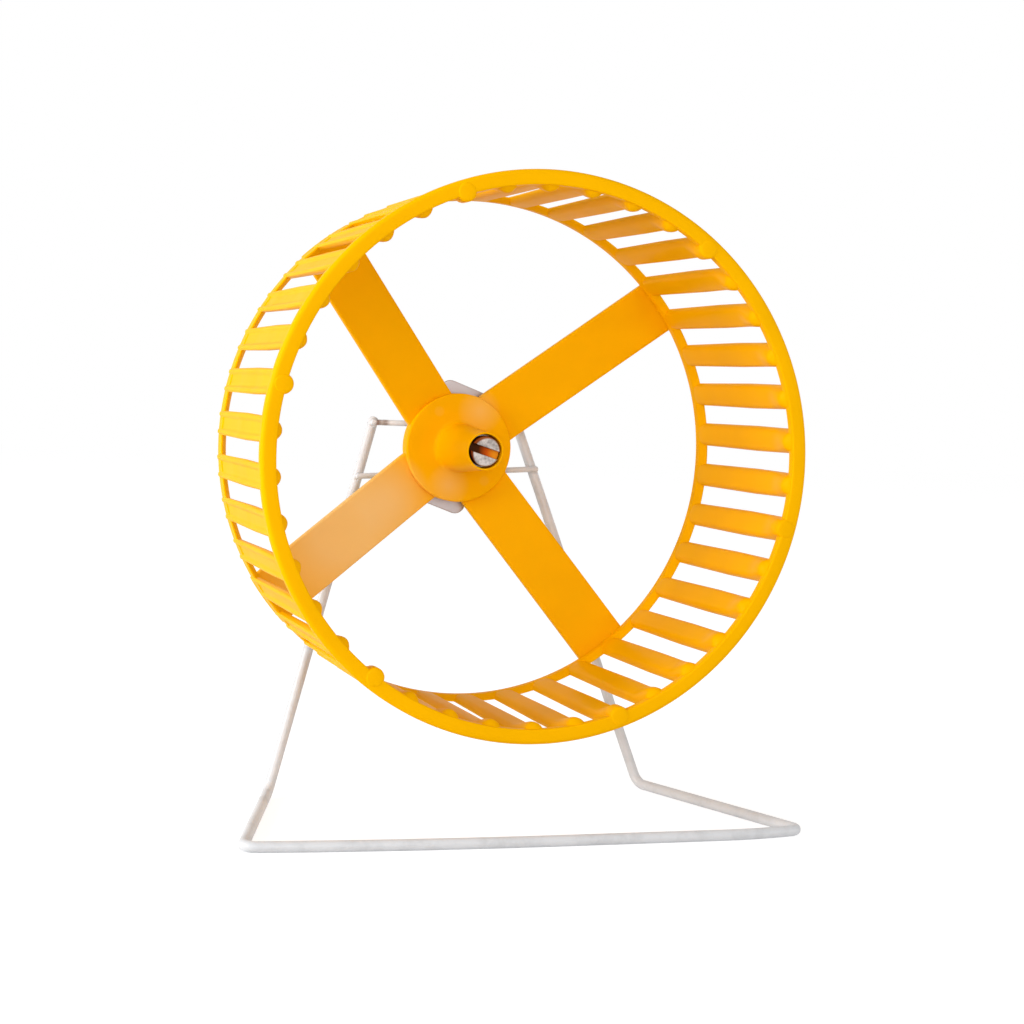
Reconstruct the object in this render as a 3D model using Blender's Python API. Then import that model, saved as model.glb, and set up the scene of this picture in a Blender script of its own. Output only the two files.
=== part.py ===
"""Hamster wheel: an open plastic running wheel that turns on a slotted axle bolt.

The bolt is carried by a steel plate on two thin cross wires, which join the leaning legs of
one bent wire stand. Metres, +Z up. The open side of the wheel faces -Y, and the origin is on
the ground, at the middle of the object's box.
"""

import math

import bmesh
import bpy
from mathutils import Matrix, Vector

# Wheel moulding
WHEEL_RADIUS = 0.0702
DRUM_WIDTH = 0.0645
FRONT_RIM_WALL = 0.0038
FRONT_RIM_DEPTH = 0.0030
FRONT_RIM_BEVEL = 0.0003
REAR_RIM_STEP = 0.0015
REAR_RIM_WALL = 0.0017
REAR_RIM_DEPTH = 0.0056
REAR_RIM_SLANT = 0.0030

# Rungs of the running track, as gutters with two lips outside and a crown inside
RUNG_COUNT = 38
RUNG_WIDTH = 0.0062
RUNG_PARTING_WIDTH = 0.0067
RUNG_PARTING_DEPTH = 0.0260
RUNG_INSET = 0.0006
RUNG_TAPER = 0.0006
RUNG_EDGE_BEVEL = 0.0003
RUNG_VALLEY_DEPTH = 0.0006
RUNG_EDGE_HEIGHT = 0.0024
RUNG_CROWN_RISE = 0.0004
RUNG_END_INSET = 0.0002
RUNG_TURN = math.radians(52.45)
GUSSET_PEAK_DEPTH = 0.0026
GUSSET_LENGTH = 0.0110
GUSSET_RISE = 0.0019

# Round ejector pads on the front rim, each at the rung nearest to its even share of the turn
PAD_COUNT = 6
PAD_RADIUS = 0.0025
PAD_PROUD = 0.0004
PAD_LENGTH = 0.0049
PAD_REACH = 0.0017

# Spokes and hub
SPOKE_NAMES = ("spoke_upper_right", "spoke_upper_left", "spoke_lower_left", "spoke_lower_right")
SPOKE_WIDTH = 0.0150
SPOKE_THICKNESS = 0.0026
SPOKE_STEP = 0.0020
SPOKE_TURN = math.radians(37.5)
DISH_DEPTH = 0.0085
HUB_RADIUS = 0.0150
HUB_WALL = 0.0020
HUB_DEPTH = 0.0049
BOSS_LENGTH = 0.0242
BOSS_BASE_RADIUS = 0.0067
BOSS_WALL = 0.0005
BOSS_FILLET = 0.0008

# Axle stack
BOLT_RADIUS = 0.0025
BOLT_HEAD_RADIUS = 0.0041
BOLT_HEAD_HEIGHT = 0.0028
BOLT_HEAD_CROWN = 0.0003
BOLT_END = 0.0012
SLOT_WIDTH = 0.0021
SLOT_DEPTH = 0.0016
SLOT_TURN = math.radians(-17.0)
HEAD_CLEARANCE = 0.0005
SLEEVE_WALL = 0.0010
HEAD_WASHER_THICKNESS = 0.0008
THRUST_WASHER_RADIUS = 0.0060
THRUST_WASHER_THICKNESS = 0.0008
LOCK_WASHER_RADIUS = 0.0042
LOCK_WASHER_THICKNESS = 0.0012
LOCK_WASHER_SPLIT = 0.0009
NUT_ACROSS_FLATS = 0.0080
NUT_THICKNESS = 0.0040
FIT_GAP = 0.0003

# Bearing plate
PLATE_WIDTH = 0.0190
PLATE_HEIGHT = 0.0345
PLATE_THICKNESS = 0.0010
PLATE_CORNER_RADIUS = 0.0030
PLATE_TURN = math.radians(-20.0)

# Stand of bent wire
GROUND_CLEARANCE = 0.0242
STAND_WIRE_RADIUS = 0.0014
CROSS_WIRE_RADIUS = 0.0008
BASE_FRONT_HALF_WIDTH = 0.0720
BASE_BACK_HALF_WIDTH = 0.0529
BASE_FRONT_REACH = 0.0052
BASE_LEFT_SETBACK = 0.0044
BASE_RIGHT_SETBACK = 0.0031
LEG_TOP_HALF_SPREAD = 0.0208
LEG_LEAN = math.radians(13.5)
LEG_TOP_RISE = 0.0014
UPPER_WIRE_HEIGHT = 0.0061
UPPER_WIRE_BEND_RADIUS = 0.0030
LOWER_WIRE_DROP = 0.0073
LOWER_WIRE_SKEW = 0.0031
CROSS_WIRE_OVERHANG = 0.0010
FRONT_BEND_RADIUS = 0.0028
BACK_BEND_RADIUS = 0.0040

# Cutting tools run past the faces that they cut by this much
OVERRUN = 0.0010

# Counts of flat sides on round work
RIM_STEPS = 2 * RUNG_COUNT
HUB_STEPS = 32
SMALL_STEPS = 24
WIRE_SIDES = 12
THIN_WIRE_SIDES = 8
BEND_STEPS = 5

# Places along the axle, measured back from the drum's front plane
AXLE_HEIGHT = WHEEL_RADIUS + GROUND_CLEARANCE
HUB_FACE_Y = DRUM_WIDTH + DISH_DEPTH
HUB_BACK_Y = HUB_FACE_Y + HUB_DEPTH
BOSS_TIP_Y = HUB_FACE_Y - BOSS_LENGTH
HEAD_WASHER_Y = BOSS_TIP_Y + BOLT_HEAD_HEIGHT + FIT_GAP
SLEEVE_FRONT_Y = HEAD_WASHER_Y + HEAD_WASHER_THICKNESS + FIT_GAP
COUNTERBORE_FLOOR_Y = SLEEVE_FRONT_Y + FIT_GAP
THRUST_WASHER_Y = HUB_BACK_Y + FIT_GAP
PLATE_Y = THRUST_WASHER_Y + THRUST_WASHER_THICKNESS + FIT_GAP
PLATE_BACK_Y = PLATE_Y + PLATE_THICKNESS
LOCK_WASHER_Y = PLATE_BACK_Y + FIT_GAP
NUT_Y = LOCK_WASHER_Y + LOCK_WASHER_THICKNESS + FIT_GAP
BOLT_END_Y = NUT_Y + NUT_THICKNESS + BOLT_END
CROSS_WIRE_Y = PLATE_BACK_Y + FIT_GAP + CROSS_WIRE_RADIUS

# Radii of the axle stack, from the bolt outwards
CLEAR_RADIUS = BOLT_RADIUS + FIT_GAP
SLEEVE_RADIUS = CLEAR_RADIUS + SLEEVE_WALL
BORE_RADIUS = SLEEVE_RADIUS + FIT_GAP
COUNTERBORE_RADIUS = BOLT_HEAD_RADIUS + HEAD_CLEARANCE
BOSS_TIP_RADIUS = COUNTERBORE_RADIUS + BOSS_WALL
HEAD_WASHER_RADIUS = COUNTERBORE_RADIUS - FIT_GAP

# Radii of the drum
FRONT_RIM_INNER_RADIUS = WHEEL_RADIUS - FRONT_RIM_WALL
REAR_RIM_RADIUS = WHEEL_RADIUS - REAR_RIM_STEP
REAR_RIM_INNER_RADIUS = REAR_RIM_RADIUS - REAR_RIM_WALL
RUNG_LIP_RADIUS = WHEEL_RADIUS - RUNG_INSET
PAD_PITCH_RADIUS = FRONT_RIM_INNER_RADIUS - PAD_REACH + PAD_RADIUS

# Places of the stand, measured from the axle
GROUND_Z = -AXLE_HEIGHT
BASE_Z = GROUND_Z + STAND_WIRE_RADIUS
LEG_OFFSET = STAND_WIRE_RADIUS + CROSS_WIRE_RADIUS + FIT_GAP
LEG_BASE_Y = (CROSS_WIRE_Y + LEG_OFFSET / math.cos(LEG_LEAN)
              - math.tan(LEG_LEAN) * (-LOWER_WIRE_DROP - BASE_Z))
LEG_TOP_Z = UPPER_WIRE_HEIGHT + LEG_TOP_RISE
LEG_BACK_Y = (LEG_BASE_Y + math.tan(LEG_LEAN) * (LEG_TOP_Z - BASE_Z)
              + STAND_WIRE_RADIUS * math.cos(LEG_LEAN))
MIDDLE_Y = (LEG_BACK_Y - BASE_FRONT_REACH - STAND_WIRE_RADIUS) / 2

PLASTIC_COLOUR = (1.0, 0.40, 0.0, 1.0)
PAINT_COLOUR = (0.84, 0.81, 0.80, 1.0)
STEEL_COLOUR = (0.46, 0.41, 0.41, 1.0)
ZINC_COLOUR = (0.60, 0.57, 0.55, 1.0)


def clear_scene():
    for obj in list(bpy.data.objects):
        bpy.data.objects.remove(obj, do_unlink=True)


def make_material(name, colour, roughness, metallic):
    material = bpy.data.materials.new(name)
    material.use_nodes = True
    shader = material.node_tree.nodes["Principled BSDF"]
    shader.inputs["Base Color"].default_value = colour
    shader.inputs["Roughness"].default_value = roughness
    shader.inputs["Metallic"].default_value = metallic
    return material


def make_object(name, bm, material, parent, smooth_angle=math.radians(35)):
    """Turn a bmesh into a named object that hangs on the axle's empty."""
    bmesh.ops.recalc_face_normals(bm, faces=bm.faces)
    mesh = bpy.data.meshes.new(name)
    bm.to_mesh(mesh)
    bm.free()
    mesh.shade_smooth()
    mesh.set_sharp_from_angle(angle=smooth_angle)
    mesh.materials.append(material)
    obj = bpy.data.objects.new(name, mesh)
    bpy.context.scene.collection.objects.link(obj)
    obj.parent = parent
    return obj


def mark_as_tool(obj):
    obj.hide_render = True
    obj.display_type = "WIRE"


def add_boolean(obj, tool, operation):
    modifier = obj.modifiers.new(operation.lower(), "BOOLEAN")
    modifier.object = tool
    modifier.operation = operation
    modifier.solver = "EXACT"
    mark_as_tool(tool)


def add_turned(bm, outline, steps):
    """Spin a closed outline of (radius, y) points round the Y axis into a ring."""
    verts = [bm.verts.new((radius, y, 0)) for radius, y in outline]
    edges = [bm.edges.new((verts[i - 1], verts[i])) for i in range(len(verts))]
    bmesh.ops.spin(bm, geom=verts + edges, cent=(0, 0, 0), axis=(0, 1, 0),
                   angle=2 * math.pi, steps=steps, use_merge=True, use_duplicate=False)


def add_spindle(bm, outline, steps):
    """Spin an open outline, which starts and ends on the Y axis, into a solid spindle."""
    verts = [bm.verts.new((radius, y, 0)) for radius, y in outline]
    edges = [bm.edges.new((verts[i], verts[i + 1])) for i in range(len(verts) - 1)]
    bmesh.ops.spin(bm, geom=verts + edges, cent=(0, 0, 0), axis=(0, 1, 0),
                   angle=2 * math.pi, steps=steps, use_merge=True, use_duplicate=False)
    bmesh.ops.remove_doubles(bm, verts=bm.verts, dist=0.000001)


def add_loft(bm, sections):
    """Join rings of points, all of one count, into a closed solid with flat ends."""
    rings = [[bm.verts.new(point) for point in section] for section in sections]
    for first, second in zip(rings, rings[1:]):
        for i in range(len(first)):
            bm.faces.new((first[i - 1], first[i], second[i], second[i - 1]))
    bm.faces.new(rings[0])
    bm.faces.new(rings[-1])


def flat_tube_ring(centre, along, across, radius, sides):
    """A ring whose flat sides, not its corners, lie at the radius, with one side facing down."""
    up = along.cross(across)
    corner = radius / math.cos(math.pi / sides)
    ring = []
    for i in range(sides):
        angle = 2 * math.pi * (i + 0.5) / sides
        ring.append(centre + corner * (math.sin(angle) * across + math.cos(angle) * up))
    return ring


def add_tube(bm, path, radius, sides, start, across):
    """Carry a ring along a path, turning it as little as possible, outwards from one point."""
    count = len(path)
    along = []
    for i in range(count):
        before = path[max(i - 1, 0)]
        after = path[min(i + 1, count - 1)]
        here = path[i]
        direction = Vector((0, 0, 0))
        if i > 0:
            direction += (here - before).normalized()
        if i < count - 1:
            direction += (after - here).normalized()
        along.append(direction.normalized())
    sideways = [None] * count
    sideways[start] = across.copy()
    for i in range(start + 1, count):
        sideways[i] = along[i - 1].rotation_difference(along[i]) @ sideways[i - 1]
    for i in range(start - 1, -1, -1):
        sideways[i] = along[i + 1].rotation_difference(along[i]) @ sideways[i + 1]
    add_loft(bm, [flat_tube_ring(path[i], along[i], sideways[i], radius, sides)
                  for i in range(count)])


def rounded_path(corners, radii):
    """Replace each inner corner of a bent line by an arc of the given radius."""
    path = [corners[0]]
    for before, corner, after, radius in zip(corners, corners[1:], corners[2:], radii):
        back = (before - corner).normalized()
        ahead = (after - corner).normalized()
        half_angle = back.angle(ahead) / 2
        bisector = (back + ahead).normalized()
        centre = corner + bisector * (radius / math.sin(half_angle))
        start = corner + back * (radius / math.tan(half_angle)) - centre
        end = corner + ahead * (radius / math.tan(half_angle)) - centre
        sweep = start.angle(end)
        axis = start.cross(end).normalized()
        for step in range(BEND_STEPS + 1):
            path.append(centre + Matrix.Rotation(sweep * step / BEND_STEPS, 3, axis) @ start)
    path.append(corners[-1])
    return path


def wheel_point(angle, radius, sideways, y):
    """A point at a radius and a sideways offset from the ray at an angle in the wheel's plane."""
    ray = Vector((math.cos(angle), 0, math.sin(angle)))
    tangent = Vector((-math.sin(angle), 0, math.cos(angle)))
    return ray * radius + tangent * sideways + Vector((0, y, 0))


def front_rim_outline():
    bevel = FRONT_RIM_BEVEL
    return [
        (FRONT_RIM_INNER_RADIUS + bevel, 0),
        (WHEEL_RADIUS - bevel, 0),
        (WHEEL_RADIUS, bevel),
        (WHEEL_RADIUS, FRONT_RIM_DEPTH),
        (FRONT_RIM_INNER_RADIUS, FRONT_RIM_DEPTH),
        (FRONT_RIM_INNER_RADIUS, bevel),
    ]


def rear_rim_outline():
    return [
        (REAR_RIM_INNER_RADIUS, DRUM_WIDTH - REAR_RIM_DEPTH + REAR_RIM_SLANT),
        (REAR_RIM_RADIUS, DRUM_WIDTH - REAR_RIM_DEPTH),
        (REAR_RIM_RADIUS, DRUM_WIDTH),
        (REAR_RIM_INNER_RADIUS, DRUM_WIDTH),
    ]


def hub_outline():
    """The disc with its back skirt, the long boss in front, its counterbore and its bore."""
    skirt_inner = HUB_RADIUS - HUB_WALL
    disc_back = HUB_FACE_Y + HUB_WALL
    sleeve_boss = BORE_RADIUS + HUB_WALL
    return [
        (COUNTERBORE_RADIUS, BOSS_TIP_Y),
        (BOSS_TIP_RADIUS, BOSS_TIP_Y),
        (BOSS_BASE_RADIUS, HUB_FACE_Y - BOSS_FILLET),
        (BOSS_BASE_RADIUS + BOSS_FILLET, HUB_FACE_Y),
        (HUB_RADIUS, HUB_FACE_Y),
        (HUB_RADIUS, HUB_BACK_Y),
        (skirt_inner, HUB_BACK_Y),
        (skirt_inner, disc_back),
        (sleeve_boss, disc_back),
        (sleeve_boss, HUB_BACK_Y),
        (BORE_RADIUS, HUB_BACK_Y),
        (BORE_RADIUS, COUNTERBORE_FLOOR_Y),
        (COUNTERBORE_RADIUS, COUNTERBORE_FLOOR_Y),
    ]


def rung_section(angle, y, width, lift):
    """One cross-section of a rung: two lips outside, a crown inside that the lift raises."""
    half = width / 2
    lip_radius = RUNG_LIP_RADIUS - RUNG_TAPER * y / DRUM_WIDTH
    edge_radius = RUNG_LIP_RADIUS - RUNG_EDGE_HEIGHT
    crest_radius = edge_radius - RUNG_CROWN_RISE - lift
    shoulder_share = 0.50
    shoulder_rise_share = 0.75
    shoulder_radius = edge_radius + (crest_radius - edge_radius) * shoulder_rise_share
    lip_share = 0.70
    places = [
        (-half, edge_radius),
        (-half * shoulder_share, shoulder_radius),
        (0, crest_radius),
        (half * shoulder_share, shoulder_radius),
        (half, edge_radius),
        (half, lip_radius - RUNG_EDGE_BEVEL),
        (half * lip_share, lip_radius),
        (0, lip_radius - RUNG_VALLEY_DEPTH),
        (-half * lip_share, lip_radius),
        (-half, lip_radius - RUNG_EDGE_BEVEL),
    ]
    return [wheel_point(angle, radius, sideways, y) for sideways, radius in places]


def add_rungs(bm):
    """All rungs, rooted in both rims, widest at the parting plane, humped behind the front rim."""
    half_share = 0.5
    stations = [
        (FRONT_RIM_BEVEL * 2, RUNG_WIDTH, 0),
        (GUSSET_PEAK_DEPTH, RUNG_WIDTH, GUSSET_RISE),
        (GUSSET_PEAK_DEPTH + GUSSET_LENGTH * half_share, RUNG_WIDTH, GUSSET_RISE * half_share),
        (GUSSET_PEAK_DEPTH + GUSSET_LENGTH, RUNG_WIDTH, 0),
        (RUNG_PARTING_DEPTH, RUNG_PARTING_WIDTH, 0),
        (DRUM_WIDTH - RUNG_END_INSET, RUNG_WIDTH, 0),
    ]
    for index in range(RUNG_COUNT):
        angle = RUNG_TURN + 2 * math.pi * index / RUNG_COUNT
        add_loft(bm, [rung_section(angle, y, width, lift) for y, width, lift in stations])


def add_spoke(bm, angle):
    """A flat spoke that leans back from the rear rim's back face to the hub's disc."""
    inner_radius = HUB_RADIUS - HUB_WALL / 2
    outer_radius = REAR_RIM_RADIUS
    outer_front = DRUM_WIDTH + FIT_GAP
    half = SPOKE_WIDTH / 2
    sections = []
    for radius, front in ((inner_radius, HUB_FACE_Y + SPOKE_STEP), (outer_radius, outer_front)):
        back = front + SPOKE_THICKNESS
        sections.append([
            wheel_point(angle, radius, -half, front),
            wheel_point(angle, radius, half, front),
            wheel_point(angle, radius, half, back),
            wheel_point(angle, radius, -half, back),
        ])
    add_loft(bm, sections)


def add_pads(bm):
    """Round pads at the rungs nearest to six even places."""
    for index in range(PAD_COUNT):
        rung = round(index * RUNG_COUNT / PAD_COUNT)
        angle = RUNG_TURN - 2 * math.pi * (rung - PAD_COUNT) / RUNG_COUNT
        centre = wheel_point(angle, PAD_PITCH_RADIUS, 0, 0)
        sections = []
        for y in (-PAD_PROUD, PAD_LENGTH - PAD_PROUD):
            sections.append([
                centre + Vector((PAD_RADIUS * math.cos(turn), y, PAD_RADIUS * math.sin(turn)))
                for turn in (2 * math.pi * i / WIRE_SIDES for i in range(WIRE_SIDES))
            ])
        add_loft(bm, sections)


def make_drum(plastic, parent):
    """The running drum: two rims joined by the rungs, with the pads on the front rim."""
    body = bmesh.new()
    add_turned(body, front_rim_outline(), RIM_STEPS)
    add_turned(body, rear_rim_outline(), RIM_STEPS)
    drum = make_object("wheel_drum", body, plastic, parent)

    pads = bmesh.new()
    add_pads(pads)
    add_boolean(drum, make_object("wheel_pads_tool", pads, plastic, parent), "UNION")

    bars = bmesh.new()
    add_rungs(bars)
    add_boolean(drum, make_object("wheel_rungs_tool", bars, plastic, parent), "UNION")
    return drum


def make_hub(plastic, parent):
    bm = bmesh.new()
    add_turned(bm, hub_outline(), HUB_STEPS)
    return make_object("wheel_hub", bm, plastic, parent)


def make_spokes(plastic, parent):
    """Four spokes, each cut to the hub's round edge."""
    edge = bmesh.new()
    radius = HUB_RADIUS + FIT_GAP
    add_spindle(edge, [
        (0, HUB_FACE_Y - SPOKE_WIDTH),
        (radius, HUB_FACE_Y - SPOKE_WIDTH),
        (radius, HUB_BACK_Y + OVERRUN),
        (0, HUB_BACK_Y + OVERRUN),
    ], HUB_STEPS)
    tool = make_object("hub_edge_tool", edge, plastic, parent)
    for index, name in enumerate(SPOKE_NAMES):
        bm = bmesh.new()
        add_spoke(bm, SPOKE_TURN + 2 * math.pi * index / len(SPOKE_NAMES))
        add_boolean(make_object(name, bm, plastic, parent), tool, "DIFFERENCE")


def make_washer(name, inner, outer, y, thickness, material, parent):
    bm = bmesh.new()
    add_turned(bm, [(inner, y), (outer, y), (outer, y + thickness), (inner, y + thickness)],
               SMALL_STEPS)
    return make_object(name, bm, material, parent)


def make_axle_bolt(zinc, parent):
    """A cheese head with a wide slot, on a plain shank that ends behind the nut."""
    face = BOSS_TIP_Y
    shoulder = face + BOLT_HEAD_HEIGHT
    bm = bmesh.new()
    add_spindle(bm, [
        (0, face),
        (BOLT_HEAD_RADIUS - BOLT_HEAD_CROWN, face),
        (BOLT_HEAD_RADIUS, face + BOLT_HEAD_CROWN),
        (BOLT_HEAD_RADIUS, shoulder),
        (BOLT_RADIUS, shoulder),
        (BOLT_RADIUS, BOLT_END_Y - BOLT_HEAD_CROWN),
        (BOLT_RADIUS - BOLT_HEAD_CROWN, BOLT_END_Y),
        (0, BOLT_END_Y),
    ], SMALL_STEPS)
    bolt = make_object("axle_bolt", bm, zinc, parent)

    slot = bmesh.new()
    reach = BOLT_HEAD_RADIUS + OVERRUN
    half = SLOT_WIDTH / 2
    add_loft(slot, [
        [wheel_point(SLOT_TURN, side * reach, offset, y) for offset, y in (
            (-half, face - OVERRUN), (half, face - OVERRUN),
            (half, face + SLOT_DEPTH), (-half, face + SLOT_DEPTH))]
        for side in (-1, 1)
    ])
    add_boolean(bolt, make_object("axle_bolt_slot_tool", slot, zinc, parent), "DIFFERENCE")
    return bolt


def make_lock_washer(zinc, parent):
    """A washer with one narrow slanting split at its top."""
    washer = make_washer("lock_washer", CLEAR_RADIUS, LOCK_WASHER_RADIUS, LOCK_WASHER_Y,
                         LOCK_WASHER_THICKNESS, zinc, parent)
    half = LOCK_WASHER_SPLIT / 2
    front = LOCK_WASHER_Y - OVERRUN
    back = LOCK_WASHER_Y + LOCK_WASHER_THICKNESS + OVERRUN
    split = bmesh.new()
    add_loft(split, [
        [Vector((x, y, z)) for x, y in (
            (-half * 2, front), (0, front), (half * 2, back), (0, back))]
        for z in (CLEAR_RADIUS / 2, LOCK_WASHER_RADIUS + OVERRUN)
    ])
    add_boolean(washer, make_object("lock_washer_split_tool", split, zinc, parent), "DIFFERENCE")
    return washer


def make_nut(zinc, parent):
    """A plain hexagon nut with a clear bore."""
    corner = NUT_ACROSS_FLATS / 2 / math.cos(math.pi / 6)
    bm = bmesh.new()
    add_loft(bm, [
        [Vector((corner * math.cos(angle), y, corner * math.sin(angle)))
         for angle in (math.pi * i / 3 for i in range(6))]
        for y in (NUT_Y, NUT_Y + NUT_THICKNESS)
    ])
    nut = make_object("axle_nut", bm, zinc, parent)
    add_boolean(nut, make_bore_tool("axle_nut_bore_tool", NUT_Y, NUT_THICKNESS, zinc, parent),
                "DIFFERENCE")
    return nut


def make_bore_tool(name, y, depth, material, parent):
    bm = bmesh.new()
    add_spindle(bm, [
        (0, y - OVERRUN),
        (CLEAR_RADIUS, y - OVERRUN),
        (CLEAR_RADIUS, y + depth + OVERRUN),
        (0, y + depth + OVERRUN),
    ], SMALL_STEPS)
    return make_object(name, bm, material, parent)


def make_plate(steel, parent):
    """A flat plate with round corners, turned a little on the axle, with a hole for the bolt."""
    half_width = PLATE_WIDTH / 2 - PLATE_CORNER_RADIUS
    half_height = PLATE_HEIGHT / 2 - PLATE_CORNER_RADIUS
    corner_steps = 4
    outline = []
    for quarter, (sx, sz) in enumerate(((1, 1), (-1, 1), (-1, -1), (1, -1))):
        for step in range(corner_steps + 1):
            angle = math.pi / 2 * (quarter + step / corner_steps)
            outline.append((sx * half_width + PLATE_CORNER_RADIUS * math.cos(angle),
                            sz * half_height + PLATE_CORNER_RADIUS * math.sin(angle)))
    turn = Matrix.Rotation(-PLATE_TURN, 3, "Y")
    bm = bmesh.new()
    add_loft(bm, [[turn @ Vector((x, y, z)) for x, z in outline] for y in (PLATE_Y, PLATE_BACK_Y)])
    plate = make_object("bearing_plate", bm, steel, parent)
    add_boolean(plate, make_bore_tool("bearing_plate_bore_tool", PLATE_Y, PLATE_THICKNESS,
                                      steel, parent), "DIFFERENCE")
    return plate


def leg_point(side, z):
    """A point on the straight centreline of the left (-1) or right (+1) leg at a height."""
    rise = (z - BASE_Z) / (LEG_TOP_Z - BASE_Z)
    x = BASE_BACK_HALF_WIDTH + (LEG_TOP_HALF_SPREAD - BASE_BACK_HALF_WIDTH) * rise
    return Vector((side * x, LEG_BASE_Y + math.tan(LEG_LEAN) * (z - BASE_Z), z))


def bow_radius(before, corner, after):
    """The radius of a wide bend that takes a share of the shorter run beside its corner."""
    run_share = 0.72
    run = min((before - corner).length, (after - corner).length)
    return run * run_share * math.tan((before - corner).angle(after - corner) / 2)


def make_stand_wire(paint, parent):
    """One wire: left leg, left bar, front bar with two wide bends, right bar and right leg."""
    left_bow_share = 0.36
    right_bow_share = 0.81
    corners = [
        leg_point(-1, LEG_TOP_Z),
        leg_point(-1, BASE_Z),
        Vector((-BASE_FRONT_HALF_WIDTH, BASE_LEFT_SETBACK - BASE_FRONT_REACH, BASE_Z)),
        Vector((-BASE_FRONT_HALF_WIDTH * left_bow_share, -BASE_FRONT_REACH, BASE_Z)),
        Vector((BASE_FRONT_HALF_WIDTH * right_bow_share, -BASE_FRONT_REACH, BASE_Z)),
        Vector((BASE_FRONT_HALF_WIDTH, BASE_RIGHT_SETBACK - BASE_FRONT_REACH, BASE_Z)),
        leg_point(1, BASE_Z),
        leg_point(1, LEG_TOP_Z),
    ]
    radii = [
        BACK_BEND_RADIUS,
        FRONT_BEND_RADIUS,
        bow_radius(*corners[2:5]),
        bow_radius(*corners[3:6]),
        FRONT_BEND_RADIUS,
        BACK_BEND_RADIUS,
    ]
    path = rounded_path(corners, radii)
    middle = len(path) // 2
    bm = bmesh.new()
    add_tube(bm, path, STAND_WIRE_RADIUS, WIRE_SIDES, middle, Vector((0, 1, 0)))
    return make_object("stand_wire", bm, paint, parent)


def make_cross_wire(name, path, paint, parent):
    bm = bmesh.new()
    add_tube(bm, path, CROSS_WIRE_RADIUS, THIN_WIRE_SIDES, 0, Vector((0, 1, 0)))
    return make_object(name, bm, paint, parent)


def front_of_leg(side, z):
    """Where a cross wire's centre lies at a height, just clear of a leg's front."""
    return (leg_point(side, z - LEG_OFFSET * math.sin(LEG_LEAN))
            + Vector((0, -math.cos(LEG_LEAN), math.sin(LEG_LEAN))) * LEG_OFFSET)


def upper_wire_path():
    """Across the fronts of both leg tops, bent forwards to the back of the plate."""
    bend_share = 0.84
    flat_share = 0.55
    end = front_of_leg(1, UPPER_WIRE_HEIGHT)
    right = [
        Vector((end.x * flat_share, CROSS_WIRE_Y, UPPER_WIRE_HEIGHT)),
        Vector((end.x * bend_share, end.y, UPPER_WIRE_HEIGHT)),
        Vector((end.x + CROSS_WIRE_OVERHANG, end.y, UPPER_WIRE_HEIGHT)),
    ]
    left = [Vector((-point.x, point.y, point.z)) for point in reversed(right)]
    return rounded_path(left + right, [UPPER_WIRE_BEND_RADIUS] * 4)


def lower_wire_path():
    """Straight across the fronts of both legs, higher on the right, and just past each leg."""
    left, right = [front_of_leg(side, -LOWER_WIRE_DROP + side * LOWER_WIRE_SKEW / 2)
                   for side in (-1, 1)]
    along = (right - left).normalized() * CROSS_WIRE_OVERHANG
    return [left - along, right + along]


def build():
    clear_scene()
    plastic = make_material("orange_plastic", PLASTIC_COLOUR, 0.35, 0.0)
    paint = make_material("white_paint", PAINT_COLOUR, 0.40, 0.0)
    steel = make_material("plate_steel", STEEL_COLOUR, 0.45, 1.0)
    zinc = make_material("bright_zinc", ZINC_COLOUR, 0.30, 1.0)

    axle = bpy.data.objects.new("axle_point", None)
    bpy.context.scene.collection.objects.link(axle)
    axle.location = (0, -MIDDLE_Y, AXLE_HEIGHT)

    make_drum(plastic, axle)
    make_hub(plastic, axle)
    make_spokes(plastic, axle)
    make_axle_bolt(zinc, axle)
    make_washer("head_washer", CLEAR_RADIUS, HEAD_WASHER_RADIUS, HEAD_WASHER_Y,
                HEAD_WASHER_THICKNESS, zinc, axle)
    make_washer("axle_sleeve", CLEAR_RADIUS, SLEEVE_RADIUS, SLEEVE_FRONT_Y,
                PLATE_Y - FIT_GAP - SLEEVE_FRONT_Y, zinc, axle)
    make_washer("thrust_washer", BORE_RADIUS, THRUST_WASHER_RADIUS, THRUST_WASHER_Y,
                THRUST_WASHER_THICKNESS, zinc, axle)
    make_plate(steel, axle)
    make_lock_washer(zinc, axle)
    make_nut(zinc, axle)
    make_stand_wire(paint, axle)
    make_cross_wire("upper_cross_wire", upper_wire_path(), paint, axle)
    make_cross_wire("lower_cross_wire", lower_wire_path(), paint, axle)


build()
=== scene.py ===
"""Dresses the solids of a hamster wheel: an orange moulded wheel on a white wire stand.

Metres, +Z up, ground at z = 0. The wheel turns about the Y direction and its open side faces -Y.
Every new piece is a grid of points worked out as whole arrays, in the solids' own frame.
"""

import math

import bmesh
import bpy
import numpy as np
from bpy.props import FloatProperty, FloatVectorProperty, IntProperty, PointerProperty
from mathutils import Matrix, Vector


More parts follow.
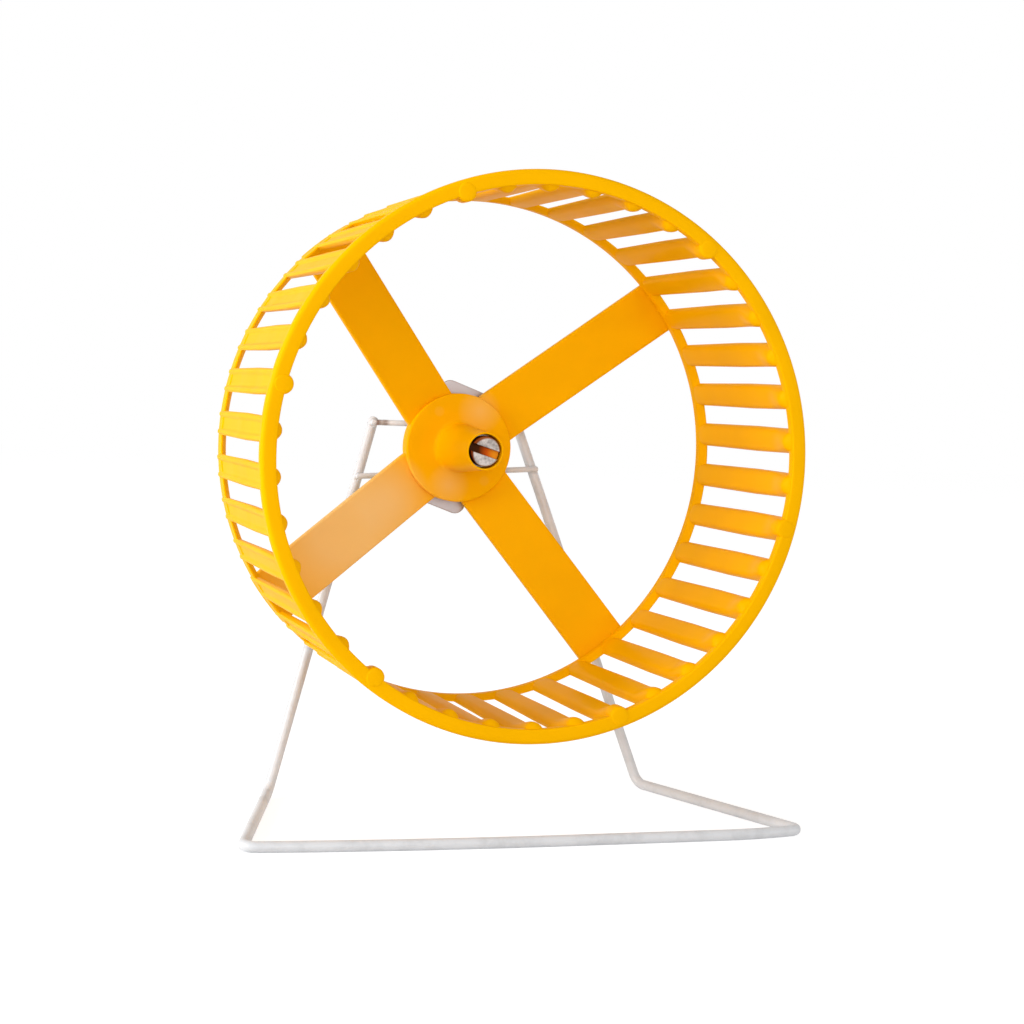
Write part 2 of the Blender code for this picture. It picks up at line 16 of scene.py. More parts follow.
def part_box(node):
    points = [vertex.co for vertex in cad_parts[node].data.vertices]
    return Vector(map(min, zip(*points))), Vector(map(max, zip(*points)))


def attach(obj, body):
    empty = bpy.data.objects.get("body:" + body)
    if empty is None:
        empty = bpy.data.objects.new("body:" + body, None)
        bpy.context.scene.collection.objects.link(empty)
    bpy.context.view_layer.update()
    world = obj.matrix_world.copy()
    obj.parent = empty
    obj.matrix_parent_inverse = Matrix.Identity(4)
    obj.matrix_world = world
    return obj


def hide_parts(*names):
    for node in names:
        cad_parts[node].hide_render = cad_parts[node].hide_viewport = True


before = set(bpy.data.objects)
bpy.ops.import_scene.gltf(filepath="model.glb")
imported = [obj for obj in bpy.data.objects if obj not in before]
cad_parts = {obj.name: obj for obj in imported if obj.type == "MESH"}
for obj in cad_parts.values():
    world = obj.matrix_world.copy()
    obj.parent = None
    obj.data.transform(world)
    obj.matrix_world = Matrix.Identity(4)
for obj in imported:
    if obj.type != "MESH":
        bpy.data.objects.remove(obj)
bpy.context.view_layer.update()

bl_info = {
    "name": "Hamster wheel",
    "version": (1, 0, 0),
    "blender": (4, 5, 0),
    "location": "3D View > Sidebar > Hamster wheel",
    "description": "Makes the visible pieces, finishes and stage of a hamster wheel",
    "category": "Object",
}

DRUM_LOW, DRUM_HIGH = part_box("wheel_drum")
HUB_LOW, HUB_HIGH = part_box("wheel_hub")
PLATE_LOW, PLATE_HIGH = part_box("bearing_plate")
THRUST_LOW, THRUST_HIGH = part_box("thrust_washer")
LOCK_LOW, LOCK_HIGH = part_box("lock_washer")
NUT_LOW, NUT_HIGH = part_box("axle_nut")
BOLT_LOW, BOLT_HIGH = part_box("axle_bolt")
STAND_LOW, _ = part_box("stand_wire")
AXLE_HEIGHT = (DRUM_LOW.z + DRUM_HIGH.z) / 2


# Settings

def metres(default, name, description):
    """A setting that is a length, in metres."""
    return FloatProperty(name=name, description=description, default=default, unit="LENGTH")


def degrees(default, name, description):
    """A setting that is an angle. Its default is given in degrees."""
    return FloatProperty(name=name, description=description, default=math.radians(default),
                         subtype="ANGLE")


def number(default, name, description, least=1):
    """A setting that is a whole number."""
    return IntProperty(name=name, description=description, default=default, min=least)


def tint(default, name, description):
    """A setting that is a colour."""
    return FloatVectorProperty(name=name, description=description, subtype="COLOR",
                               default=default, min=0, max=1)


class WheelSizes(bpy.types.PropertyGroup):
    pad_proud: metres(0.0004, "Pad height", "How far the round pads stand before the front rim")
    pad_face: metres(0.00018, "Pad face", "How far a pad's rounded face rises from the rim")
    front_rim_wall: metres(
        0.0038, "Front rim wall", "Width of the front rim's face, along the radius")
    front_rim_depth: metres(0.0030, "Front rim depth", "Length of the front rim along the axle")
    front_rim_round: metres(
        0.0004, "Front rim rounding", "Radius of the front rim's inner front edge")
    rear_rim_step: metres(0.0015, "Rear rim step", "How much smaller the rear rim's radius is")
    rear_rim_wall: metres(0.0017, "Rear rim wall", "Thickness of the rear rim, along the radius")
    rear_rim_depth: metres(0.0056, "Rear rim depth", "Length of the rear rim along the axle")
    rear_rim_slant: metres(
        0.0030, "Rear rim slant", "How far its inner face is set back behind its front")
    rung_count: number(38, "Rungs", "Number of rungs round the track", least=3)
    rung_width: metres(0.0062, "Rung width", "Width of a rung at its two ends")
    rung_parting_width: metres(
        0.0067, "Rung parting width", "Width of a rung at the mould's parting plane")
    rung_parting_depth: metres(
        0.0260, "Parting depth", "How far the parting plane lies behind the front")
    rung_inset: metres(
        0.0006, "Rung inset", "How far the rungs' lips lie inside the front rim's radius")
    rung_taper: metres(0.0006, "Rung taper", "How far the lips fall from the front to the back")
    rung_valley: metres(
        0.0006, "Rung valley", "Depth of the hollow between a rung's two outer lips")
    rung_edge: metres(0.0024, "Rung edge", "Height of a rung at its edges")
    rung_crown: metres(0.0004, "Rung crown", "Rise of a rung's inner face at its middle")
    rung_round: metres(0.0004, "Rung rounding", "Radius of the edges at a rung's rear end")
    gusset_rise: metres(
        0.0019, "Gusset rise", "How far a rung's inner face rises behind the front rim")
    gusset_peak: metres(
        0.0026, "Gusset peak", "How far behind the drum's front the rise is greatest")
    gusset_length: metres(0.0110, "Gusset length", "Length over which the rise falls to nothing")
    rung_turn: degrees(52.45, "Rung turn", "Angle of the first rung, from +X towards +Z")
    pad_count: number(6, "Pads", "Number of round pads on the front rim")
    pad_radius: metres(0.0025, "Pad radius", "Radius of a round pad")
    pad_reach: metres(0.0017, "Pad reach", "How far a pad reaches inside the front rim")
    pad_length: metres(0.0049, "Pad length", "Length of a pad along the axle")
    spoke_count: number(4, "Spokes", "Number of flat spokes")
    spoke_width: metres(0.0150, "Spoke width", "Width of a spoke")
    spoke_thickness: metres(0.0026, "Spoke thickness", "Thickness of a spoke")
    spoke_step: metres(0.0020, "Spoke step", "How far a spoke lies behind the hub's disc")
    spoke_turn: degrees(37.5, "Spoke turn", "Angle of the first spoke, from +X towards +Z")
    dish_depth: metres(0.0085, "Dish depth", "How far the hub's disc lies behind the rear rim")
    hub_wall: metres(0.0020, "Hub wall", "Thickness of the hub's disc and walls")
    boss_base_radius: metres(
        0.0067, "Boss base radius", "Radius of the boss where it leaves the disc")
    boss_wall: metres(0.0005, "Boss wall", "Thickness of the boss at its mouth")
    boss_fillet: metres(0.0012, "Boss fillet", "Radius of the hollow curve at the boss's foot")


class StandSizes(bpy.types.PropertyGroup):
    wire_radius: metres(0.0014, "Stand wire radius", "Radius of the bent stand wire")
    cross_wire_radius: metres(0.0008, "Cross wire radius", "Radius of the two thin cross wires")
    front_half_width: metres(0.0720, "Front half width", "Half the width between the front bends")
    back_half_width: metres(
        0.0529, "Back half width", "Half the width between the legs on the ground")
    front_reach: metres(0.0052, "Front reach", "How far the front bar lies in front of the drum")
    left_setback: metres(
        0.0044, "Left setback", "How far the front bar bends back at its left end")
    right_setback: metres(
        0.0031, "Right setback", "How far the front bar bends back at its right end")
    top_half_spread: metres(0.0208, "Top half spread", "Half the distance between the leg tips")
    leg_top_rise: metres(0.0014, "Leg top rise", "How far a leg runs past the upper cross wire")
    leg_lean: degrees(13.5, "Leg lean", "Angle by which the legs lean back")
    upper_wire_height: metres(
        0.0061, "Upper wire height", "Height of the upper cross wire over the axle")
    upper_wire_bend: metres(0.0030, "Upper wire bend", "Radius of the upper cross wire's bends")
    lower_wire_drop: metres(
        0.0073, "Lower wire drop", "Drop of the lower cross wire below the axle")
    lower_wire_skew: metres(0.0031, "Lower wire skew", "How much higher its right end is")
    wire_overhang: metres(0.0010, "Wire overhang", "How far a cross wire runs past each leg")
    front_bend: metres(0.0028, "Front bend", "Radius of the bends at the front corners")
    back_bend: metres(0.0040, "Back bend", "Radius of the bends at the feet of the legs")
    weld_size: metres(0.0013, "Weld size", "Half the length of a weld's bead")
    plate_width: metres(0.0190, "Plate width", "Width of the bearing plate")
    plate_height: metres(0.0345, "Plate height", "Height of the bearing plate")
    plate_corner: metres(0.0030, "Plate corner", "Radius of the plate's corners")
    plate_turn: degrees(-20.0, "Plate turn", "Turn of the plate on the axle")


class AxleSizes(bpy.types.PropertyGroup):
    shank_radius: metres(0.0025, "Shank radius", "Radius of the bolt's shank")
    head_radius: metres(0.0041, "Head radius", "Radius of the bolt's head")
    head_height: metres(0.0028, "Head height", "Height of the bolt's head")
    head_round: metres(0.0005, "Head rounding", "Radius of the head's front edge")
    slot_width: metres(0.0021, "Slot width", "Width of the slot in the head")
    slot_depth: metres(0.0016, "Slot depth", "Depth of the slot in the head")
    slot_turn: degrees(-17.0, "Slot turn", "Turn of the slot from level")
    head_clearance: metres(0.0005, "Head clearance", "Gap between the head and the boss's mouth")
    thread_pitch: metres(0.0008, "Thread pitch", "Pitch of the bolt's thread")
    nut_across_flats: metres(0.0080, "Nut across flats", "Width of the nut")


class Finishes(bpy.types.PropertyGroup):
    plastic: tint((0.95, 0.46, 0.0), "Plastic", "Colour of the moulded wheel")
    paint: tint((0.66, 0.67, 0.69), "Wire coating", "Colour of the coated wire")
    plate: tint((0.29, 0.24, 0.21), "Plate steel", "Colour of the bearing plate")
    zinc: tint((0.50, 0.45, 0.42), "Bright zinc", "Colour of the bolt, nut and washers")


class StageSettings(bpy.types.PropertyGroup):
    camera_place: FloatVectorProperty(
        name="Camera place", description="Camera, from the axle in the drum's front plane",
        subtype="TRANSLATION", default=(-0.167832, -0.485457, 0.017199))
    camera_yaw: degrees(-18.218, "Camera yaw", "Turn of the view from +Y towards -X")
    camera_pitch: degrees(-3.379, "Camera pitch", "Tilt of the view above level")
    camera_roll: degrees(2.114, "Camera roll", "Turn of the camera about its own view")
    lens: FloatProperty(
        name="Lens", description="Focal length for a 36 mm sensor, in millimetres",
        default=74.166)
    world_light: FloatProperty(
        name="World light", description="Strength of the even light from all round",
        default=0.46)


# Surfaces

SKEW_AXIS = np.array([0.577, -0.577, 0.577])    # a direction that no wire runs along
BEVEL_ROWS = 6          # rows in the rounded edge of a slab
FACE_INSET = 3          # bevels by which the first row of a slab's face is drawn in
SHARP_ANGLE = 40        # degrees: an edge that turns by more is shown sharp
SAME_POINT = 1e-7       # points nearer than this become one


def rounded(corners, radii, steps, closed):
    """A bent line whose corners are arcs. Each arc's centre lies on the corner's bisector."""
    corners = np.asarray(corners, float)
    count = len(corners)
    inner = range(count) if closed else range(1, count - 1)
    parts = [] if closed else [corners[:1]]
    for i in inner:
        corner = corners[i]
        back = corners[i - 1] - corner
        ahead = corners[(i + 1) % count] - corner
        back /= np.linalg.norm(back)
        ahead /= np.linalg.norm(ahead)
        half = math.acos(np.clip(back @ ahead, -1, 1)) / 2
        bisector = back + ahead
        bisector /= np.linalg.norm(bisector)
        centre = corner + bisector * radii[i] / math.sin(half)
        start = corner + back * radii[i] / math.tan(half) - centre
        end = corner + ahead * radii[i] / math.tan(half) - centre
        sweep = math.pi - 2 * half
        across = end - start * math.cos(sweep)
        across *= radii[i] / np.linalg.norm(across)
        turn = np.linspace(0, sweep, steps + 1)[:, None]
        parts.append(centre + start * np.cos(turn) + across * np.sin(turn))
    if not closed:
        parts.append(corners[-1:])
    return np.concatenate(parts)


def refine(line, length, closed):
    """Adds points on the straight runs of a line, so that no run is longer than a length."""
    following = np.roll(line, -1, axis=0) if closed else line[1:]
    starts = line if closed else line[:-1]
    parts = []
    for start, end in zip(starts, following):
        pieces = max(1, math.ceil(np.linalg.norm(end - start) / length))
        share = np.arange(pieces)[:, None] / pieces
        parts.append(start + (end - start) * share)
    if not closed:
        parts.append(line[-1:])
    return np.concatenate(parts)


def rectangle(left, low, right, high):
    return [(left, low), (right, low), (right, high), (left, high)]


def outline(corners, radii, steps, run):
    """A closed line with rounded corners and a limit to its straight runs."""
    return refine(rounded(corners, radii, steps, True), run, True)


def circle(count):
    """The angles of even places round a circle."""
    return 2 * math.pi * np.arange(count) / count


def polar(angle, radius, sideways, y):
    """Points at a radius and a sideways offset from the ray at an angle, as x, y, z."""
    angle, radius, sideways, y = np.broadcast_arrays(angle, radius, sideways, y)
    x = radius * np.cos(angle) - sideways * np.sin(angle)
    z = radius * np.sin(angle) + sideways * np.cos(angle) + AXLE_HEIGHT
    return np.stack([x, y, z], axis=-1)


def turned(profile, steps):
    """Turns a profile of (radius, y) round the axle: x = r cos t, z = axle + r sin t."""
    return polar(circle(steps), profile[:, :1], 0.0, profile[:, 1:])


def swept(path, radius, sides):
    """Carries a circle along a path: p + r (side cos a + up sin a), square to the path."""
    along = np.gradient(path, axis=0)
    along /= np.linalg.norm(along, axis=1, keepdims=True)
    side = np.cross(along, SKEW_AXIS)
    side /= np.linalg.norm(side, axis=1, keepdims=True)
    up = np.cross(side, along)
    angle = circle(sides)[:, None]
    ring = side[:, None] * np.cos(angle) + up[:, None] * np.sin(angle)
    return path[:, None] + ring * radius[:, None, None]


def capped(grid):
    """Closes a stack of rings: a row that has shrunk to the ring's middle goes on each end."""
    middles = grid[..., [0, -1], :, :].mean(axis=-2, keepdims=True)
    rows = np.broadcast_to(middles, grid[..., [0, -1], :, :].shape)
    return np.concatenate([rows[..., :1, :, :], grid, rows[..., 1:, :, :]], axis=-3)


def edge_fall(radius, share, fullness=1.0):
    """How far a rounded edge falls at a share t of its width: r (1 - sqrt(1 - f t^2))."""
    return radius * (1 - np.sqrt(1 - share ** 2 * fullness))


def smoothstep(low, high, value):
    """0 below low, 1 above high, and 3 t^2 - 2 t^3 between them."""
    t = np.clip((value - low) / (high - low), 0, 1)
    return t * t * (3 - 2 * t)


def slab(line, thickness, bevel):
    """A flat sheet with rounded edges, from a closed line in (u, v), as rows of (u, v, w).

    Each row is the line, drawn in along its normals by b (1 - sin a) at height b (1 - cos a).
    """
    tangent = np.roll(line, -1, axis=0) - np.roll(line, 1, axis=0)
    normal = np.stack([tangent[:, 1], -tangent[:, 0]], axis=1)
    normal /= np.linalg.norm(normal, axis=1, keepdims=True)
    a = np.linspace(0, math.pi / 2, BEVEL_ROWS)
    inset = np.concatenate([[FACE_INSET * bevel], bevel * (1 - np.sin(a))])
    height = np.concatenate([[0], bevel * (1 - np.cos(a))])
    inset = np.concatenate([inset, inset[::-1]])
    height = np.concatenate([height, thickness - height[::-1]])
    flat = line - normal * inset[:, None, None]
    level = np.broadcast_to(height[:, None, None], flat.shape[:2] + (1,))
    return np.concatenate([flat, level], axis=-1)


def add_object(name, data):
    obj = bpy.data.objects.new(name, data)
    bpy.context.scene.collection.objects.link(obj)
    return obj


def piece(name, grid, body, nodes, material, wrap_rows=False, angle=SHARP_ANGLE):
    """Makes grids of points into one mesh: rings wrap round, and rows may wrap too."""
    grid = grid.reshape(-1, *grid.shape[-3:])
    copies, rows, columns, _ = grid.shape
    index = np.arange(copies * rows * columns).reshape(copies, rows, columns)
    index = np.pad(index, ((0, 0), (0, int(wrap_rows)), (0, 1)), mode="wrap")
    quads = np.stack([index[:, :-1, :-1], index[:, :-1, 1:], index[:, 1:, 1:],
                      index[:, 1:, :-1]], axis=-1)
    mesh = bpy.data.meshes.new(name)
    mesh.vertices.add(copies * rows * columns)
    mesh.vertices.foreach_set("co", grid.astype(np.float32).ravel())
    mesh.loops.add(quads.size)
    mesh.loops.foreach_set("vertex_index", quads.astype(np.int32).ravel())
    mesh.polygons.add(quads.size // 4)
    mesh.polygons.foreach_set("loop_start", np.arange(0, quads.size, 4, dtype=np.int32))
    mesh.update(calc_edges=True)
    bm = bmesh.new()
    bm.from_mesh(mesh)
    bmesh.ops.remove_doubles(bm, verts=bm.verts, dist=SAME_POINT)
    bmesh.ops.recalc_face_normals(bm, faces=bm.faces)
    bm.to_mesh(mesh)
    bm.free()
    mesh.shade_smooth()
    mesh.set_sharp_from_angle(angle=math.radians(angle))
    mesh.materials.append(material)
    obj = add_object(name, mesh)
    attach(obj, body)
    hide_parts(*nodes)


# Places shared by the wheel's pieces

def wheel_radius():
    return (DRUM_HIGH.z - DRUM_LOW.z) / 2


def drum_front(wheel):
    return DRUM_LOW.y + wheel.pad_proud


def hub_face(wheel):
    return DRUM_HIGH.y + wheel.dish_depth


def rung_angles(wheel):
    return wheel.rung_turn + circle(wheel.rung_count)


def rung_crest(wheel, across, lift):
    """Radius of a rung's inner face: edge, less the crown and the lift times (1 - s^2)."""
    edge = wheel_radius() - wheel.rung_inset - wheel.rung_edge
    return edge - (wheel.rung_crown + lift) * (1 - across ** 2)


# Finishes

# Pale patches of painted sheen and two round ejector marks on the hub and spokes, from the axle:
# x, z, radius, width of the soft edge and strength
SHEEN_PATCHES_AND_MARKS = (
    # painted sheen: pale painted reflections on the lower left spoke and the hub
    (-0.0330, -0.0230, 0.0280, 0.0200, 0.28),
    (-0.0190, -0.0140, 0.0120, 0.0100, 0.14),
    (-0.0029, -0.0104, 0.0062, 0.0056, 0.14),
    (0.0056, 0.0104, 0.0066, 0.0060, 0.14),
    # the two ejector marks
    (-0.0061, 0.0099, 0.0016, 0.0005, 0.022),
    (0.0075, -0.0090, 0.0016, 0.0005, 0.022),
)
SHEEN_AND_MARK_COLOUR = (0.84, 0.84, 0.66, 1)

# The scorch on the upper wire: its first and last x, and how dark it is at shares between them
SCORCH_REACH = (-0.0240, -0.0140)
SCORCH_BANDS = ((0.26, 0.0), (0.34, 0.9), (0.46, 0.35), (0.58, 0.7), (0.70, 0.0))
SCORCH_COLOUR = (0.17, 0.075, 0.035, 1)

# Painted shade on the bolt's head, beside its edge and deep in its slot, turning to a painted
# reflection of the orange boss to the right: colours from its left to its right, the middle of its
# unshaded part from the axle (x, z), the soft edge of that part, and the depths where the slot
# darkens
SHADE_REACH = (-0.0036, 0.0036)
EDGE_SHADOW = ((0.0, (0.12, 0.022, 0.003)), (0.8, (0.30, 0.09, 0.02)))
SLOT_SHADE_AND_REFLECTION = ((0.0, (0.030, 0.010, 0.004)), (0.30, (0.045, 0.012, 0.003)),
              (0.62, (0.42, 0.060, 0.004)), (0.90, (0.62, 0.21, 0.01)))
UNSHADED_X, UNSHADED_Z = 0.0007, -0.0006
UNSHADED_EDGE = (0.0038, 0.0042)
SLOT_SHADE_DEPTHS = (0.0002, 0.0009)


def add_node(tree, kind, output=0, inputs=None, **settings):
    """A new node's output. Each input is set, or linked where its value is an output itself."""
    node = tree.nodes.new("ShaderNode" + kind)
    for name, value in settings.items():
        setattr(node, name, value)
    for socket, value in (inputs or {}).items():
        if isinstance(value, bpy.types.NodeSocket):
            tree.links.new(value, node.inputs[socket])
        else:
            node.inputs[socket].default_value = value
    return node.outputs[output]


class NewMaterial:
    """A material in the making. Most calls add a node and return its output."""

    def __init__(self, name, colour, roughness, metallic=0.0, gloss=0.5):
        self.material = bpy.data.materials.new(name)
        self.material.use_nodes = True
        self.tree = self.material.node_tree
        self.inputs = self.tree.nodes["Principled BSDF"].inputs
        for socket, value in (("Base Color", (*colour, 1)), ("Roughness", roughness),
                              ("Metallic", metallic), ("Specular IOR Level", gloss)):
            self.inputs[socket].default_value = value

    def show(self, socket, output):
        """Links an output to one of the shader's sockets."""
        self.tree.links.new(output, self.inputs[socket])

    def place(self, scale=(1, 1, 1)):
        """Object coordinates, scaled."""
        place = add_node(self.tree, "TexCoord", "Object")
        return add_node(self.tree, "Mapping", inputs={"Vector": place, "Scale": scale})

    def axis(self, name):
        """One object coordinate: X, Y or Z."""
        return add_node(self.tree, "SeparateXYZ", name, {0: self.place()})

    def distance(self, place, point):
        """How far a place is from a fixed point."""
        return add_node(self.tree, "VectorMath", "Value", {0: place, 1: point},
                        operation="DISTANCE")

    def noise(self, place, scale, detail=3.0, roughness=0.5):
        return add_node(self.tree, "TexNoise", "Fac", {
            "Vector": place, "Scale": scale, "Detail": detail, "Roughness": roughness})

    def mapped(self, value, start=(0, 1), end=(0, 1)):
        """Carries a value from one range to another, and holds it within the second."""
        limits = zip(("From Min", "From Max", "To Min", "To Max"), (*start, *end))
        return add_node(self.tree, "MapRange", "Result", {"Value": value, **dict(limits)})

    def ramp(self, value, stops):
        """A colour ramp from (place, colour) stops."""
        node = self.tree.nodes.new("ShaderNodeValToRGB")
        elements = node.color_ramp.elements
        for index, (place, colour) in enumerate(stops):
            element = elements[index] if index < 2 else elements.new(place)
            element.position = place
            element.color = (*colour, 1)
        self.tree.links.new(value, node.inputs["Fac"])
        return node.outputs["Color"]

    def cloud(self, value, colour, darkest, low, high):
        """Shows a colour that is darkened where a value is below high, and most below low."""
        dark = tuple(channel * darkest for channel in colour)
        self.show("Base Color", self.ramp(value, [(low, dark), (high, colour)]))

    def paint_mark_or_light(self, share, colour):
        """Mixes a share of a colour, a plain one or an output, over the colour so far."""
        under = self.inputs["Base Color"].links[0].from_socket
        self.show("Base Color", add_node(self.tree, "Mix", 2, {0: share, 6: under, 7: colour},
                                         data_type="RGBA"))

    def bump(self, height, strength, distance):
        """Adds a bump over the ones so far."""
        inputs = {"Height": height, "Strength": strength, "Distance": distance}
        for link in self.inputs["Normal"].links:
            inputs["Normal"] = link.from_socket
        self.show("Normal", add_node(self.tree, "Bump", inputs=inputs))


def moulded_plastic(colour, name="moulded_plastic"):
    """Semi-gloss moulding: faint flow clouds in the colour, a fine skin and soft ripples."""
    made = NewMaterial(name, colour, roughness=0.40, gloss=0.015)
    place = made.place()
    made.cloud(made.noise(place, scale=45.0, detail=4.0), colour, darkest=0.94, low=0.30,
               high=0.70)
    patches = made.noise(place, scale=120.0, detail=2.0)
    made.show("Roughness", made.mapped(patches, end=(0.32, 0.46)))
    made.bump(made.noise(place, scale=90.0, detail=1.0), strength=0.25, distance=0.0004)
    made.bump(made.noise(place, scale=2500.0, detail=2.0), strength=0.10, distance=0.00003)
    return made


def sheen_and_marks_plastic(colour):
    """The moulding's plastic with soft pale patches of painted sheen and two round ejector marks.
    """
    made = moulded_plastic(colour, "sheen_and_marks_plastic")
    flat = made.place((1, 0, 1))
    # Pale patches of painted sheen, and the two ejector marks
    for x, z, radius, soft, share in SHEEN_PATCHES_AND_MARKS:
        away = made.distance(flat, (x, 0, AXLE_HEIGHT + z))
        made.paint_mark_or_light(made.mapped(away, (radius, radius - soft), (0, share)), SHEEN_AND_MARK_COLOUR)
    return made


def coated_wire(colour, name="coated_wire"):
    """Off-white coating: slight orange peel and faint grey rubbing."""
    made = NewMaterial(name, colour, roughness=0.38)
    place = made.place()
    rubbed = made.noise(place, scale=160.0, detail=5.0, roughness=0.65)
    made.cloud(rubbed, colour, darkest=0.86, low=0.30, high=0.52)
    made.show("Roughness", made.mapped(rubbed, end=(0.48, 0.30)))
    made.bump(made.noise(place, scale=900.0, detail=2.0), strength=0.20, distance=0.00005)
    return made


def scorched_wire(colour):
    """The wire's coating with a brown scorch by the left joint, in soft bands along X."""
    made = coated_wire(colour, "scorched_wire")
    bands = [(place, (dark, dark, dark)) for place, dark in SCORCH_BANDS]
    made.paint_mark_or_light(made.ramp(made.mapped(made.axis("X"), SCORCH_REACH), bands), SCORCH_COLOUR)
    return made


def plate_steel(colour):
    """Rolled sheet: long fine scratches along the plate and darker clouds."""
    made = NewMaterial("plate_steel", colour, roughness=0.45, metallic=1.0)
    scratches = made.noise(made.place((900.0, 60.0, 60.0)), scale=1.0, roughness=0.6)
    made.cloud(made.noise(made.place(), scale=130.0), colour, darkest=0.80, low=0.25, high=0.75)
    made.show("Roughness", made.mapped(scratches, end=(0.34, 0.58)))
    made.bump(scratches, strength=0.15, distance=0.00004)
    return made


def bright_zinc(colour, name="bright_zinc"):
    """Pale plated steel with short random scratches and dull spots."""
    made = NewMaterial(name, colour, roughness=0.30, metallic=1.0)
    spots = made.noise(made.place(), scale=700.0, detail=4.0, roughness=0.7)
    made.cloud(spots, colour, darkest=0.45, low=0.36, high=0.60)
    made.show("Roughness", made.mapped(spots, end=(0.55, 0.34)))
    scratches = made.noise(made.place((1800, 300, 2600)), scale=1.0, detail=2.0)
    made.bump(scratches, strength=0.25, distance=0.00004)
    return made


def painted_shade_zinc(colour):
    """The bolt head's zinc with painted shade beside one edge and in the slot, paler to the right.
    """
    made = bright_zinc(colour, "painted_shade_zinc")
    # Both marks are painted shade that turns to a painted reflection of the orange boss to the
    # right
    across = made.mapped(made.axis("X"), SHADE_REACH)
    away = made.distance(made.place(), (UNSHADED_X, BOLT_LOW.y, AXLE_HEIGHT + UNSHADED_Z))
    # Painted shadow beside the head's edge, outside a round unshaded part
    made.paint_mark_or_light(made.mapped(away, UNSHADED_EDGE), made.ramp(across, EDGE_SHADOW))
    # Painted shade deep in the slot
    depths = [BOLT_LOW.y + depth for depth in SLOT_SHADE_DEPTHS]
    made.paint_mark_or_light(made.mapped(made.axis("Y"), depths), made.ramp(across, SLOT_SHADE_AND_REFLECTION))
    return made


def finish(name):
    """The named finish, made once from the user's colour."""
    made = bpy.data.materials.get(name)
    if made:
        return made
    colours = bpy.context.scene.wheel_finishes
    makers = {
        "moulded_plastic": (moulded_plastic, colours.plastic),
        "sheen_and_marks_plastic": (sheen_and_marks_plastic, colours.plastic),
        "coated_wire": (coated_wire, colours.paint),
        "scorched_wire": (scorched_wire, colours.paint),
        "plate_steel": (plate_steel, colours.plate),
        "bright_zinc": (bright_zinc, colours.zinc),
        "painted_shade_zinc": (painted_shade_zinc, colours.zinc),
    }
    maker, colour = makers[name]
    return maker(tuple(colour)).material


# Pieces of the wheel

ARC_STEPS = 5           # steps in each rounded corner of a turned profile
RIM_RUN = 0.0008        # longest straight run between two points of a rim's profile

FRONT_RIM_COLUMNS = 608
FRONT_RIM_ROUNDS = (0.0011, 0.0004, 0.0007)     # outer front, outer back and inner back edges

REAR_RIM_COLUMNS = 456
REAR_RIM_ROUNDS = (0.0012, 0.0003, 0.0004, 0.0004)      # from the inner front edge, as above

RUNG_ROWS, RUNG_TAIL_ROWS = 46, 5               # along a rung, and in its rounded rear end
RUNG_ROW_POWER = 1.3    # brings the rows closer together at the front
RUNG_OUTER_COLUMNS, RUNG_INNER_COLUMNS = 27, 21
RUNG_SHARP_ANGLE = 50
RUNG_START = 0.0008     # from the front rim's face back to a rung's front end
RUNG_END = 0.0003       # from a rung's rear end back to the rear rim's
GUSSET_LEAD = 0.0006    # how far before a rung's front end the gusset's rise begins
VALLEY_SIDES = (0.66, 0.40)     # shares of the half width where the hollow begins and is full
LIP_ROUND, LIP_ROUND_FROM = 0.0005, 0.80        # fall of the outer edge, from this share on
SIDE_ROUND, SIDE_ROUND_FULL = 0.0014, 0.99      # fall of the inner edges, and how full it is
RIM_SINK = 0.00045      # how far the inner face sinks at the rear rim
RIM_SINK_PLACES = (0.0020, 0.0042)      # where that begins and ends, from the rim's front
RUNG_LEAST = 0.0008     # least height of a rung
INNER_WIDTH = 0.985     # width of the inner face as a share of the outer

PAD_COLUMNS = 40
PAD_BEVEL = 0.0008      # less than a third of the pad's radius, because of FACE_INSET

SPOKE_ROUND, SPOKE_ARC_STEPS = 0.0005, 4
SPOKE_RUN = 0.0009
SPOKE_ROWS = 44
SPOKE_END = 0.0002      # from a spoke's face back to the rear rim's back, at its outer end

HUB_COLUMNS = 144
HUB_RUN = 0.0020
HUB_ROUNDS = (0.0005, 0.0003, 0.0003, 0.0004, 0.0004, 0.0003, 0.0002, 0.0002, 0.0002)
MOUTH_ROUND = 0.0002
SLEEVE_ROOM = 0.0016    # from the bolt's shank to the hub's bore
WASHER_ROOM = 0.0017    # from the back of the bolt's head to the counterbore's floor


class HAMSTER_OT_front_rim(bpy.types.Operator):
    """Front rim: a square section, each edge with a rounding of its own, turned round the axle."""
    bl_idname = "hamster.front_rim"
    bl_label = "Front rim"

    def execute(self, context):
        wheel = context.scene.wheel_sizes
        outer = wheel_radius()
        inner = outer - wheel.front_rim_wall
        front = drum_front(wheel)
        back = front + wheel.front_rim_depth
        radii = [wheel.front_rim_round, *FRONT_RIM_ROUNDS]
        profile = outline(rectangle(inner, front, outer, back), radii, ARC_STEPS, RIM_RUN)
        piece("front_rim", turned(profile, FRONT_RIM_COLUMNS), "wheel",
              ["wheel_drum"], finish("moulded_plastic"), wrap_rows=True)
        return {"FINISHED"}


class HAMSTER_OT_rear_rim(bpy.types.Operator):
    """Rear rim: a thin rounded section turned round the axle, its inner face set back."""
    bl_idname = "hamster.rear_rim"
    bl_label = "Rear rim"

    def execute(self, context):
        wheel = context.scene.wheel_sizes
        outer = wheel_radius() - wheel.rear_rim_step
        inner = outer - wheel.rear_rim_wall
        back = DRUM_HIGH.y
        front = back - wheel.rear_rim_depth
        corners = [(inner, front + wheel.rear_rim_slant), (outer, front), (outer, back),
                   (inner, back)]
        profile = outline(corners, REAR_RIM_ROUNDS, ARC_STEPS, RIM_RUN)
        piece("rear_rim", turned(profile, REAR_RIM_COLUMNS), "wheel",
              ["wheel_drum"], finish("moulded_plastic"), wrap_rows=True)
        return {"FINISHED"}


